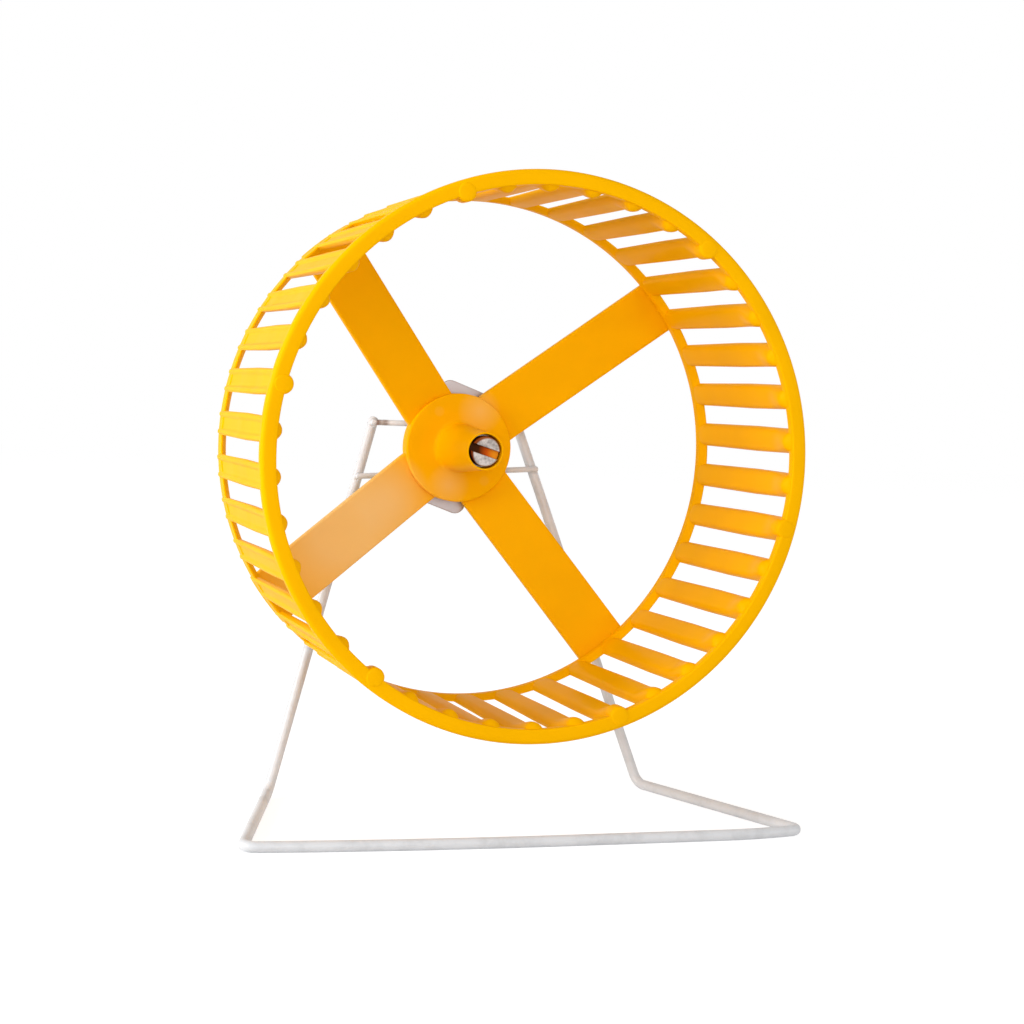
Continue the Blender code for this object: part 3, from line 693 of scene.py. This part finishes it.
class HAMSTER_OT_rungs(bpy.types.Operator):
    """Rungs: a gutter section carried along the axle direction, humped behind the front rim.

    Outside, r = lip less valley where |s| is small, with soft steps up to two lips that fall a
    little from front to back. Inside, r = edge less (crown + lift) (1 - s^2), and the lift rises
    to the gusset's peak by the front rim's back and falls again. At the rear rim it sinks in,
    and both long edges fall by q (1 - sqrt(1 - f t^2)). The half width goes in straight lines
    from the parting plane to both ends.
    """
    bl_idname = "hamster.rungs"
    bl_label = "Rungs"

    def execute(self, context):
        wheel = context.scene.wheel_sizes
        front = drum_front(wheel)
        start, end = front + RUNG_START, DRUM_HIGH.y - RUNG_END
        turn = np.linspace(0, math.pi / 2, RUNG_TAIL_ROWS)
        tail = end - wheel.rung_round * (1 - np.sin(turn))
        y = np.concatenate([start + np.linspace(0, 1, RUNG_ROWS) ** RUNG_ROW_POWER
                            * (end - wheel.rung_round - start), tail[1:]])
        peak = front + wheel.gusset_peak
        lift = wheel.gusset_rise * np.minimum(smoothstep(start - GUSSET_LEAD, peak, y),
                                              smoothstep(peak + wheel.gusset_length, peak, y))
        lip = wheel_radius() - wheel.rung_inset
        lip = lip - wheel.rung_taper * ((y - front) / (end - front))[:, None]
        width = np.interp(y, [start, front + wheel.rung_parting_depth, end],
                          [wheel.rung_width, wheel.rung_parting_width, wheel.rung_width])
        into = np.clip(1 - (end - y) / wheel.rung_round, 0, 1)
        drawn = edge_fall(wheel.rung_round, into)[:, None]

        out = np.linspace(-1, 1, RUNG_OUTER_COLUMNS)
        valley = wheel.rung_valley * smoothstep(*VALLEY_SIDES, np.abs(out))
        edge_round = LIP_ROUND * smoothstep(LIP_ROUND_FROM, 1.0, np.abs(out)) ** 2
        outside = lip - valley - edge_round - drawn

        back = np.sin(np.linspace(math.pi / 2, -math.pi / 2, RUNG_INNER_COLUMNS))
        past = 1 - (1 - np.abs(back)) * wheel.rung_parting_width / 2 / SIDE_ROUND
        fallen = edge_fall(SIDE_ROUND, np.clip(past, 0, 1), SIDE_ROUND_FULL)
        rear = DRUM_HIGH.y - wheel.rear_rim_depth
        sunk = RIM_SINK * smoothstep(*(rear + place for place in RIM_SINK_PLACES), y)[:, None]
        inside = np.minimum(rung_crest(wheel, back, lift[:, None]) + drawn + sunk + fallen,
                            lip - RUNG_LEAST - drawn)

        radius = np.concatenate([outside, inside], axis=1)
        share = np.concatenate([out, back * INNER_WIDTH])
        sideways = share * (width[:, None] / 2 - drawn)
        angle = rung_angles(wheel)[:, None, None]
        grid = polar(angle, radius[None], sideways[None], y[None, :, None])
        piece("rungs", capped(grid), "wheel", ["wheel_drum"],
              finish("moulded_plastic"), angle=RUNG_SHARP_ANGLE)
        return {"FINISHED"}


class HAMSTER_OT_pads(bpy.types.Operator):
    """Round pads: short pins with rounded faces at the rungs nearest to even places."""
    bl_idname = "hamster.pads"
    bl_label = "Round pads"

    def execute(self, context):
        wheel = context.scene.wheel_sizes
        pitch = wheel_radius() - wheel.front_rim_wall - wheel.pad_reach + wheel.pad_radius
        rungs = np.round(np.arange(wheel.pad_count) * wheel.rung_count / wheel.pad_count)
        angle = wheel.rung_turn - 2 * math.pi * (rungs - wheel.pad_count) / wheel.rung_count
        turn = circle(PAD_COLUMNS)
        rim = wheel.pad_radius * np.stack([np.cos(turn), np.sin(turn)], axis=1)
        sheet = slab(rim, wheel.pad_length, PAD_BEVEL)
        centre = polar(angle, pitch, 0.0, drum_front(wheel) - wheel.pad_face)[:, None, None]
        grid = centre + np.stack([sheet[..., 0], sheet[..., 2], sheet[..., 1]], axis=-1)
        piece("round_pads", capped(grid), "wheel", ["wheel_drum"],
              finish("moulded_plastic"))
        return {"FINISHED"}


class HAMSTER_OT_spokes(bpy.types.Operator):
    """Spokes: a rounded flat section carried outwards, from the hub's skirt to the rear rim.

    At a sideways place v the radius runs from sqrt(a^2 - v^2) to sqrt(b^2 - v^2), and y goes in a
    straight line from behind the disc's face to the rear rim's back.
    """
    bl_idname = "hamster.spokes"
    bl_label = "Spokes"

    def execute(self, context):
        wheel = context.scene.wheel_sizes
        half = wheel.spoke_width / 2
        hub_radius = (HUB_HIGH.x - HUB_LOW.x) / 2
        near = hub_radius - wheel.hub_wall / 2
        far = wheel_radius() - wheel.rear_rim_step
        corners = rectangle(-half, 0, half, wheel.spoke_thickness)
        v, w = outline(corners, [SPOKE_ROUND] * 4, SPOKE_ARC_STEPS, SPOKE_RUN).T
        along = np.linspace(0, 1, SPOKE_ROWS)[:, None]
        inner = np.sqrt(near ** 2 - v ** 2)
        outer = np.sqrt(far ** 2 - v ** 2)
        radius = inner + along * (outer - inner)
        share = np.clip((radius - hub_radius) / (far - hub_radius), 0, 1)
        start = hub_face(wheel) + wheel.spoke_step
        front = start + share * (DRUM_HIGH.y - SPOKE_END - start)
        angle = wheel.spoke_turn + circle(wheel.spoke_count)
        grid = polar(angle[:, None, None], radius[None], v[None, None], (front + w)[None])
        spokes = ["spoke_upper_right", "spoke_upper_left", "spoke_lower_left",
                  "spoke_lower_right"]
        piece("spokes", capped(grid), "wheel", spokes,
              finish("sheen_and_marks_plastic"))
        return {"FINISHED"}


class HAMSTER_OT_hub(bpy.types.Operator):
    """Hub: disc, skirt, tapered boss, counterbore and bore, one profile turned round the axle."""
    bl_idname = "hamster.hub"
    bl_label = "Hub"

    def execute(self, context):
        wheel = context.scene.wheel_sizes
        axle = context.scene.axle_sizes
        radius = (HUB_HIGH.x - HUB_LOW.x) / 2
        face = hub_face(wheel)
        tip, back = HUB_LOW.y, HUB_HIGH.y
        mouth = axle.head_radius + axle.head_clearance
        bore = axle.shank_radius + SLEEVE_ROOM
        floor = tip + axle.head_height + WASHER_ROOM
        corners = [
            (mouth, tip), (mouth + wheel.boss_wall, tip), (wheel.boss_base_radius, face),
            (radius, face), (radius, back), (radius - wheel.hub_wall, back),
            (radius - wheel.hub_wall, face + wheel.hub_wall),
            (bore + wheel.hub_wall, face + wheel.hub_wall), (bore + wheel.hub_wall, back),
            (bore, back), (bore, floor), (mouth, floor),
        ]
        radii = [MOUTH_ROUND, MOUTH_ROUND, wheel.boss_fillet, *HUB_ROUNDS]
        profile = outline(corners, radii, ARC_STEPS, HUB_RUN)
        piece("hub", turned(profile, HUB_COLUMNS), "wheel", ["wheel_hub"],
              finish("sheen_and_marks_plastic"), wrap_rows=True)
        return {"FINISHED"}


# Pieces of the stand

WELD_GAP = 0.0003       # between pieces of the stand that a weld joins
LEG_GAP = 0.0001        # between a leg and a cross wire
BOW_SHARE = 0.72        # how much of the shorter run beside it a wide bend takes
LEFT_BOW, RIGHT_BOW = 0.36, 0.81        # places of the front bar's bends, from its middle
STAND_ARC_STEPS, CROSS_ARC_STEPS = 12, 8
UPPER_WIRE_INNER, UPPER_WIRE_OUTER = 0.55, 0.84         # places of the upper wire's bends
DOME_LENGTH = 0.5       # length of a wire's domed end, in radii
DOME_FULL = 0.90        # how far its tip is drawn in
DOME_PLACES = np.array([0.06, 0.2, 0.45, 1.0])[:, None]
STAND_RUN, CROSS_RUN = 0.003, 0.002
STAND_SIDES, CROSS_SIDES = 24, 20
WIRE_SHARP_ANGLE = 60

WELD_ROWS, WELD_COLUMNS = 13, 24
WELD_SHARP_ANGLE = 80
WELD_SHAPE = np.array([1, 0.62, 0.85])          # along X, Y and Z
WELD_WAVE = 0.10        # how uneven a bead is
LEG_WELD = 0.6          # place of a bead, on the way from a leg's middle to a cross wire
PLATE_WELD_X = 0.30     # place of a bead on the plate, as a share of its width
PLATE_WELD_SKEW = 0.11  # share of the lower wire's skew that such a bead takes
PLATE_WELD_GAP = 0.0004         # from the plate's back to a bead's middle

PLATE_ARC_STEPS = 8
PLATE_RUN = 0.002
PLATE_BEVEL = 0.0003


def cross_wire_y(stand):
    return PLATE_HIGH.y + WELD_GAP + stand.cross_wire_radius


def leg_base_y(stand):
    offset = stand.wire_radius + stand.cross_wire_radius + WELD_GAP
    base = STAND_LOW.z + stand.wire_radius
    lower = AXLE_HEIGHT - stand.lower_wire_drop
    return (cross_wire_y(stand) + offset / math.cos(stand.leg_lean)
            - math.tan(stand.leg_lean) * (lower - base))


def leg_top(stand):
    return AXLE_HEIGHT + stand.upper_wire_height + stand.leg_top_rise


def leg_point(stand, side, z):
    """A point on a leg's straight centreline, at a height. Side is -1 (left) or 1 (right)."""
    base = STAND_LOW.z + stand.wire_radius
    share = (z - base) / (leg_top(stand) - base)
    x = stand.back_half_width + (stand.top_half_spread - stand.back_half_width) * share
    return np.array([side * x, leg_base_y(stand) + math.tan(stand.leg_lean) * (z - base), z])


def front_of_leg(stand, side, z, share=1.0):
    """A cross wire's centre at a height, just before a leg, or a share of the way out to it."""
    reach = stand.wire_radius + stand.cross_wire_radius + LEG_GAP
    lean = np.array([0, -math.cos(stand.leg_lean), math.sin(stand.leg_lean)])
    return leg_point(stand, side, z - reach * lean[2]) + lean * reach * share


def bow_radius(before, corner, after):
    """Radius of a wide bend that takes a fixed share of the shorter run beside its corner."""
    back, ahead = before - corner, after - corner
    short, long = sorted((np.linalg.norm(back), np.linalg.norm(ahead)))
    half = math.acos(np.clip(back @ ahead / (short * long), -1, 1)) / 2
    return short * BOW_SHARE * math.tan(half)


def stand_path(stand):
    """Left leg, left bar, front bar with two wide bends near its ends, right bar and right leg."""
    base = STAND_LOW.z + stand.wire_radius
    front = drum_front(bpy.context.scene.wheel_sizes) - stand.front_reach
    half = stand.front_half_width
    corners = np.array([
        leg_point(stand, -1, leg_top(stand)),
        leg_point(stand, -1, base),
        (-half, front + stand.left_setback, base),
        (-half * LEFT_BOW, front, base),
        (half * RIGHT_BOW, front, base),
        (half, front + stand.right_setback, base),
        leg_point(stand, 1, base),
        leg_point(stand, 1, leg_top(stand)),
    ])
    radii = [0, stand.back_bend, stand.front_bend, bow_radius(*corners[2:5]),
             bow_radius(*corners[3:6]), stand.front_bend, stand.back_bend, 0]
    return rounded(corners, radii, STAND_ARC_STEPS, False)


def upper_wire_path(stand):
    """Across the fronts of both leg tops, bent forwards to the back of the plate."""
    height = AXLE_HEIGHT + stand.upper_wire_height
    end = front_of_leg(stand, 1, height)
    right = [
        (end[0] * UPPER_WIRE_INNER, cross_wire_y(stand), height),
        (end[0] * UPPER_WIRE_OUTER, end[1], height),
        (end[0] + stand.wire_overhang, end[1], height),
    ]
    left = [(-x, y, z) for x, y, z in reversed(right)]
    radii = [0, *[stand.upper_wire_bend] * 4, 0]
    return rounded(left + right, radii, CROSS_ARC_STEPS, False)


def lower_wire_path(stand):
    """Straight across the fronts of both legs, and just past each leg."""
    height = AXLE_HEIGHT - stand.lower_wire_drop
    ends = np.array([front_of_leg(stand, side, height + side * stand.lower_wire_skew / 2)
                     for side in (-1, 1)])
    along = (ends[1] - ends[0]) / np.linalg.norm(ends[1] - ends[0])
    return ends + np.outer([-1, 1], along) * stand.wire_overhang


def wire_radii(path, radius):
    """The wire's radius along its path, drawn in at both ends so that they are domed."""
    gone = np.concatenate([[0], np.cumsum(np.linalg.norm(np.diff(path, axis=0), axis=1))])
    near = np.minimum(gone, gone[-1] - gone)
    dome = np.clip(near / (radius * DOME_LENGTH), 0, 1)
    return radius * np.sqrt(1 - (1 - dome) ** 2 * DOME_FULL)


def domed_path(path, radius):
    """Adds close points at both ends of a path, for the domes."""
    steps = radius * DOME_LENGTH * DOME_PLACES
    first = path[1] - path[0]
    last = path[-2] - path[-1]
    start = path[0] + first / np.linalg.norm(first) * steps
    end = path[-1] + last / np.linalg.norm(last) * steps
    return np.concatenate([path[:1], start, path[1:-1], end[::-1], path[-1:]])


def wire(line, radius, run, sides):
    """A wire with domed ends along a line, as a grid of points."""
    path = domed_path(refine(line, run, False), radius)
    return capped(swept(path, wire_radii(path, radius), sides))


class HAMSTER_OT_stand_wire(bpy.types.Operator):
    """Stand wire: one circle carried along the bent path, with domed ends."""
    bl_idname = "hamster.stand_wire"
    bl_label = "Stand wire"

    def execute(self, context):
        stand = context.scene.stand_sizes
        grid = wire(stand_path(stand), stand.wire_radius, STAND_RUN, STAND_SIDES)
        piece("bent_stand_wire", grid, "stand", ["stand_wire"],
              finish("coated_wire"), angle=WIRE_SHARP_ANGLE)
        return {"FINISHED"}


class HAMSTER_OT_cross_wires(bpy.types.Operator):
    """Cross wires: one over the tops of the legs, and one straight across both legs."""
    bl_idname = "hamster.cross_wires"
    bl_label = "Cross wires"

    def execute(self, context):
        stand = context.scene.stand_sizes
        for name, node, line, coat in (
                ("upper_wire", "upper_cross_wire", upper_wire_path(stand), "scorched_wire"),
                ("lower_wire", "lower_cross_wire", lower_wire_path(stand), "coated_wire")):
            grid = wire(line, stand.cross_wire_radius, CROSS_RUN, CROSS_SIDES)
            piece(name, grid, "stand", [node], finish(coat),
                  angle=WIRE_SHARP_ANGLE)
        return {"FINISHED"}


class HAMSTER_OT_welds(bpy.types.Operator):
    """Welds: a lump at each joint, p = centre + size (sin a cos b, sin a sin b, cos a)."""
    bl_idname = "hamster.welds"
    bl_label = "Welds"

    def execute(self, context):
        stand = context.scene.stand_sizes
        upper = AXLE_HEIGHT + stand.upper_wire_height
        lower = AXLE_HEIGHT - stand.lower_wire_drop
        centres = []
        for side in (-1, 1):
            skew = side * stand.lower_wire_skew
            x, y = side * PLATE_WELD_X * stand.plate_width, PLATE_HIGH.y + PLATE_WELD_GAP
            centres += [front_of_leg(stand, side, upper, LEG_WELD),
                        front_of_leg(stand, side, lower + skew / 2, LEG_WELD),
                        (x, y, upper), (x, y, lower + skew * PLATE_WELD_SKEW)]
        a = np.linspace(0, math.pi, WELD_ROWS)[:, None]
        b = circle(WELD_COLUMNS)
        lump = np.stack(np.broadcast_arrays(np.sin(a) * np.cos(b), np.sin(a) * np.sin(b),
                                            np.cos(a)), axis=-1)
        uneven = 1 + WELD_WAVE * np.sin(3 * b + 2 * a)[..., None]
        grid = np.array(centres)[:, None, None] + lump * uneven * (stand.weld_size * WELD_SHAPE)
        piece("welds", grid, "stand", ["upper_cross_wire", "lower_cross_wire"],
              finish("coated_wire"), angle=WELD_SHARP_ANGLE)
        return {"FINISHED"}


class HAMSTER_OT_bearing_plate(bpy.types.Operator):
    """Bearing plate: a rounded rectangle with worn edges, turned on the axle."""
    bl_idname = "hamster.bearing_plate"
    bl_label = "Bearing plate"

    def execute(self, context):
        stand = context.scene.stand_sizes
        w, h = stand.plate_width / 2, stand.plate_height / 2
        radii = [stand.plate_corner] * 4
        sides = outline(rectangle(-w, -h, w, h), radii, PLATE_ARC_STEPS, PLATE_RUN)
        sheet = slab(sides, PLATE_HIGH.y - PLATE_LOW.y, PLATE_BEVEL)
        grid = polar(stand.plate_turn, sheet[..., 0], sheet[..., 1], PLATE_LOW.y + sheet[..., 2])
        piece("steel_plate", capped(grid), "stand", ["bearing_plate"],
              finish("plate_steel"))
        return {"FINISHED"}


# Pieces on the axle

SLOT_EDGE = 0.00012     # bevel along the slot
SLOT_PLACES = np.array([-0.5, 0, 0.5])          # columns in the slot, in half widths
HEAD_COLUMNS, HEAD_ROWS = 22, 33
HEAD_ROUND_FULL = 0.999
HEAD_SHARP_ANGLE = 30
SHANK_ROWS, SHANK_COLUMNS = 460, 32
SHANK_SHARP_ANGLE = 60
SHANK_OVERLAP = 0.0002  # how far the shank runs into the head
THREAD_DEPTH = 0.0004   # also the chamfer at the shank's end
THREAD_LEAD = 0.001     # length over which the thread begins

NUT_COLUMNS = 144
NUT_PLACES = np.array([0, 0.03, 0.08, 0.14, 0.2, 0.3, 0.7, 0.8, 0.86, 0.92, 0.97, 1])
NUT_SHARP_ANGLE = 25
NUT_FACE = 0.97         # radius of the nut's round face, in half widths across the flats
NUT_CHAMFER = 1.7       # slope of the chamfer cone
NUT_CLEARANCE = 0.0001  # from the shank to the nut's bore
BORE_CHAMFER = 0.0003

WASHERS = (
    # piece, node, its box and the radius of the hole
    ("face_washer", "thrust_washer", THRUST_LOW, THRUST_HIGH, 0.0041),
    ("spring_washer", "lock_washer", LOCK_LOW, LOCK_HIGH, 0.0028),
)
WASHER_ROUNDS = (0.00015, 0.0002, 0.0002, 0.00015)
WASHER_COLUMNS, WASHER_ARC_STEPS = 96, 4


class HAMSTER_OT_axle_bolt(bpy.types.Operator):
    """Axle bolt: a slotted head as lines across the slot, and a shank with a screw thread.

    Head: v = t sqrt(R^2 - u^2), with the face set back in the slot, and near the round edge.
    """
    bl_idname = "hamster.axle_bolt"
    bl_label = "Axle bolt"

    def execute(self, context):
        axle = context.scene.axle_sizes
        radius = axle.head_radius
        half = axle.slot_width / 2
        outer = radius * np.sin(np.linspace(0, math.pi / 2, HEAD_COLUMNS))
        outer = outer[outer > half + 2 * SLOT_EDGE]
        right_u = np.concatenate([[half, half, half + SLOT_EDGE], outer])
        right_h = np.concatenate([[axle.slot_depth, SLOT_EDGE, 0], np.zeros(len(outer))])
        u = np.concatenate([-right_u[::-1], half * SLOT_PLACES, right_u])
        set_back = np.concatenate([right_h[::-1], [axle.slot_depth] * 3, right_h])
        t = np.sin(np.linspace(-math.pi / 2, math.pi / 2, HEAD_ROWS))
        v = t[:, None] * np.sqrt(np.maximum(radius ** 2 - u ** 2, 0))
        reach = np.sqrt(u ** 2 + v ** 2)
        into = np.clip((reach - radius + axle.head_round) / axle.head_round, 0, 1)
        face = np.maximum(set_back, edge_fall(axle.head_round, into, HEAD_ROUND_FULL))
        under = np.full(v.shape, axle.head_height)
        rows = [np.stack(np.broadcast_arrays(v, u, depth), axis=-1) for depth in (face, under)]
        loop = np.concatenate([rows[0], rows[1][::-1]]).transpose(1, 0, 2)
        grid = polar(axle.slot_turn, loop[..., 0], loop[..., 1], BOLT_LOW.y + loop[..., 2])
        piece("bolt_head", grid, "stand", ["axle_bolt"], finish("painted_shade_zinc"),
              angle=HEAD_SHARP_ANGLE)

        shoulder = BOLT_LOW.y + axle.head_height - SHANK_OVERLAP
        y = np.linspace(shoulder, BOLT_HIGH.y, SHANK_ROWS)[:, None]
        turn = np.arange(SHANK_COLUMNS) / SHANK_COLUMNS
        wave = np.abs(((y / axle.thread_pitch - turn) % 1) - 0.5) * 2
        threaded = smoothstep(PLATE_LOW.y - THREAD_LEAD, PLATE_LOW.y, y)
        ended = np.clip((BOLT_HIGH.y - y) / THREAD_DEPTH, 0, 1)
        r = axle.shank_radius - THREAD_DEPTH * wave * threaded - THREAD_DEPTH * (1 - ended)
        shank = polar(2 * math.pi * turn[None], r, 0.0, y)
        piece("bolt_shank", capped(shank), "stand", ["axle_bolt"],
              finish("bright_zinc"), angle=SHANK_SHARP_ANGLE)
        return {"FINISHED"}


class HAMSTER_OT_fasteners(bpy.types.Operator):
    """Nut and washers: the nut's radius is the lesser of a hexagon and a chamfer cone.

    The head washer and the sleeve, hidden in the boss, keep their solids and get the finish.
    """
    bl_idname = "hamster.fasteners"
    bl_label = "Nut and washers"

    def execute(self, context):
        axle = context.scene.axle_sizes
        zinc = finish("bright_zinc")
        flat = axle.nut_across_flats / 2
        angle = circle(NUT_COLUMNS)
        hexagon = flat / np.cos((angle + math.pi / 6) % (math.pi / 3) - math.pi / 6)
        depth = NUT_HIGH.y - NUT_LOW.y
        place = depth * NUT_PLACES
        near = np.minimum(place, depth - place)
        cone = flat * NUT_FACE + near * NUT_CHAMFER
        outside = np.minimum(hexagon[None], cone[:, None])
        bore = axle.shank_radius + NUT_CLEARANCE
        inner = np.full((1, len(angle)), bore + BORE_CHAMFER)
        radius = np.concatenate([inner, outside, inner, np.full((2, len(angle)), bore)])
        rows = np.concatenate([[0], place, [depth, depth - BORE_CHAMFER, BORE_CHAMFER]])
        grid = polar(angle[None], radius, 0.0, rows[:, None] + NUT_LOW.y)
        piece("hex_nut", grid, "stand", ["axle_nut"], zinc, wrap_rows=True,
              angle=NUT_SHARP_ANGLE)
        for name, node, low, high, inner_radius in WASHERS:
            outer = (high.x - low.x) / 2
            corners = rectangle(inner_radius, low.y, outer, high.y)
            profile = rounded(corners, WASHER_ROUNDS, WASHER_ARC_STEPS, True)
            piece(name, turned(profile, WASHER_COLUMNS), "stand", [node], zinc,
                  wrap_rows=True)
        for node in ("head_washer", "axle_sleeve"):
            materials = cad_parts[node].data.materials
            materials.clear()
            materials.append(zinc)
        return {"FINISHED"}


# Stage

FLOOR_REACH = 2.5
FLOOR_LIT = 0.85        # how white the floor is for the light that it sends on
FLOOR_FAINT, FLOOR_GLOW = 0.40, 0.81    # where it's seen: how white it is, and its own light
SENSOR_WIDTH = 36.0

LAMPS = (
    # name, place, size and power
    ("left_lamp", (-0.98, -0.10, 0.35), (0.5, 0.5), 9.0),
    ("front_lamp", (-0.24, -1.26, 0.38), (0.9, 0.9), 6.2),
    ("right_lamp", (0.95, -0.72, 0.15), (0.35, 0.45), 2.2),
)


def empty_tree(owner):
    owner.use_nodes = True
    owner.node_tree.nodes.clear()
    return owner.node_tree


def lit_and_seen(tree, lit, seen, output):
    """Uses one shader for the light that a surface sends on, and another where it's seen.

    It is seen by the camera, in a mirror or through glass.
    """
    paths = tree.nodes.new("ShaderNodeLightPath").outputs
    total = paths["Is Camera Ray"]
    for name in ("Is Glossy Ray", "Is Transmission Ray"):
        total = add_node(tree, "Math", inputs={0: total, 1: paths[name]}, operation="MAXIMUM")
    mix = add_node(tree, "MixShader", inputs={0: total, 1: lit, 2: seen})
    tree.links.new(mix, tree.nodes.new(output).inputs["Surface"])


def add_lamp(name, place, size, power):
    """A soft square lamp that faces the axle's middle."""
    data = bpy.data.lights.new(name, "AREA")
    data.shape = "RECTANGLE"
    data.size, data.size_y = size
    data.energy = power
    lamp = add_object(name, data)
    lamp.location = place
    direction = Vector((0.0, 0.0, AXLE_HEIGHT)) - Vector(place)
    lamp.rotation_euler = direction.to_track_quat("-Z", "Y").to_euler()


class HAMSTER_OT_stage(bpy.types.Operator):
    """Stage: a white floor that keeps the shadow, a white background, soft lamps, a camera."""
    bl_idname = "hamster.stage"
    bl_label = "Stage"

    def execute(self, context):
        settings = context.scene.wheel_stage
        scene = context.scene
        scene.view_settings.view_transform = "Standard"

        mesh = bpy.data.meshes.new("floor")
        corners = rectangle(-FLOOR_REACH, -FLOOR_REACH, FLOOR_REACH, FLOOR_REACH)
        mesh.from_pydata([(x, y, 0) for x, y in corners], [], [(0, 1, 2, 3)])
        floor = add_object("floor", mesh)
        material = bpy.data.materials.new("white_floor")
        mesh.materials.append(material)
        tree = empty_tree(material)
        lit, faint = (add_node(tree, "BsdfDiffuse", inputs={"Color": (grey, grey, grey, 1)})
                      for grey in (FLOOR_LIT, FLOOR_FAINT))
        glow = add_node(tree, "Emission", inputs={"Strength": FLOOR_GLOW})
        seen = add_node(tree, "AddShader", inputs={0: faint, 1: glow})
        lit_and_seen(tree, lit, seen, "ShaderNodeOutputMaterial")

        scene.world = bpy.data.worlds.new("white_room")
        tree = empty_tree(scene.world)
        white = (1, 1, 1, 1)
        lit, seen = (add_node(tree, "Background", inputs={"Color": white, "Strength": strength})
                     for strength in (settings.world_light, 1.0))
        lit_and_seen(tree, lit, seen, "ShaderNodeOutputWorld")

        for lamp in LAMPS:
            add_lamp(*lamp)

        data = bpy.data.cameras.new("camera")
        data.lens = settings.lens
        data.sensor_width = SENSOR_WIDTH
        camera = add_object("camera", data)
        yaw, pitch, roll = settings.camera_yaw, settings.camera_pitch, settings.camera_roll
        ahead = Vector((-math.sin(yaw) * math.cos(pitch), math.cos(yaw) * math.cos(pitch),
                        math.sin(pitch)))
        level = Vector((math.cos(yaw), math.sin(yaw), 0))
        upright = level.cross(ahead)
        right = level * math.cos(roll) + upright * math.sin(roll)
        up = upright * math.cos(roll) - level * math.sin(roll)
        turn = Matrix((right, up, -ahead)).transposed()
        place = Vector((0, drum_front(context.scene.wheel_sizes), AXLE_HEIGHT))
        place += Vector(settings.camera_place)
        camera.matrix_world = Matrix.Translation(place) @ turn.to_4x4()
        scene.camera = camera
        return {"FINISHED"}


class HAMSTER_PT_panel(bpy.types.Panel):
    """Lists the pieces and the stage."""
    bl_idname = "HAMSTER_PT_panel"
    bl_label = "Hamster wheel"
    bl_space_type = "VIEW_3D"
    bl_region_type = "UI"
    bl_category = "Hamster wheel"

    def draw(self, context):
        for operator in OPERATORS:
            self.layout.operator(operator.bl_idname)
        for group in GROUPS:
            column = self.layout.column()
            settings = getattr(context.scene, group)
            for name in settings.__annotations__:
                column.prop(settings, name)


GROUPS = {
    "wheel_sizes": WheelSizes,
    "stand_sizes": StandSizes,
    "axle_sizes": AxleSizes,
    "wheel_finishes": Finishes,
    "wheel_stage": StageSettings,
}

OPERATORS = (
    HAMSTER_OT_front_rim,
    HAMSTER_OT_rear_rim,
    HAMSTER_OT_rungs,
    HAMSTER_OT_pads,
    HAMSTER_OT_spokes,
    HAMSTER_OT_hub,
    HAMSTER_OT_stand_wire,
    HAMSTER_OT_cross_wires,
    HAMSTER_OT_welds,
    HAMSTER_OT_bearing_plate,
    HAMSTER_OT_axle_bolt,
    HAMSTER_OT_fasteners,
    HAMSTER_OT_stage,
)


def register():
    for kind in (*GROUPS.values(), *OPERATORS, HAMSTER_PT_panel):
        bpy.utils.register_class(kind)
    for name, kind in GROUPS.items():
        setattr(bpy.types.Scene, name, PointerProperty(type=kind))


def unregister():
    for name in GROUPS:
        delattr(bpy.types.Scene, name)
    for kind in reversed((*GROUPS.values(), *OPERATORS, HAMSTER_PT_panel)):
        bpy.utils.unregister_class(kind)


def main():
    """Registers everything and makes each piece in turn."""

    register()
    for operator in OPERATORS:
        group, name = operator.bl_idname.split(".")
        getattr(getattr(bpy.ops, group), name)()


if __name__ == "__main__":
    main()
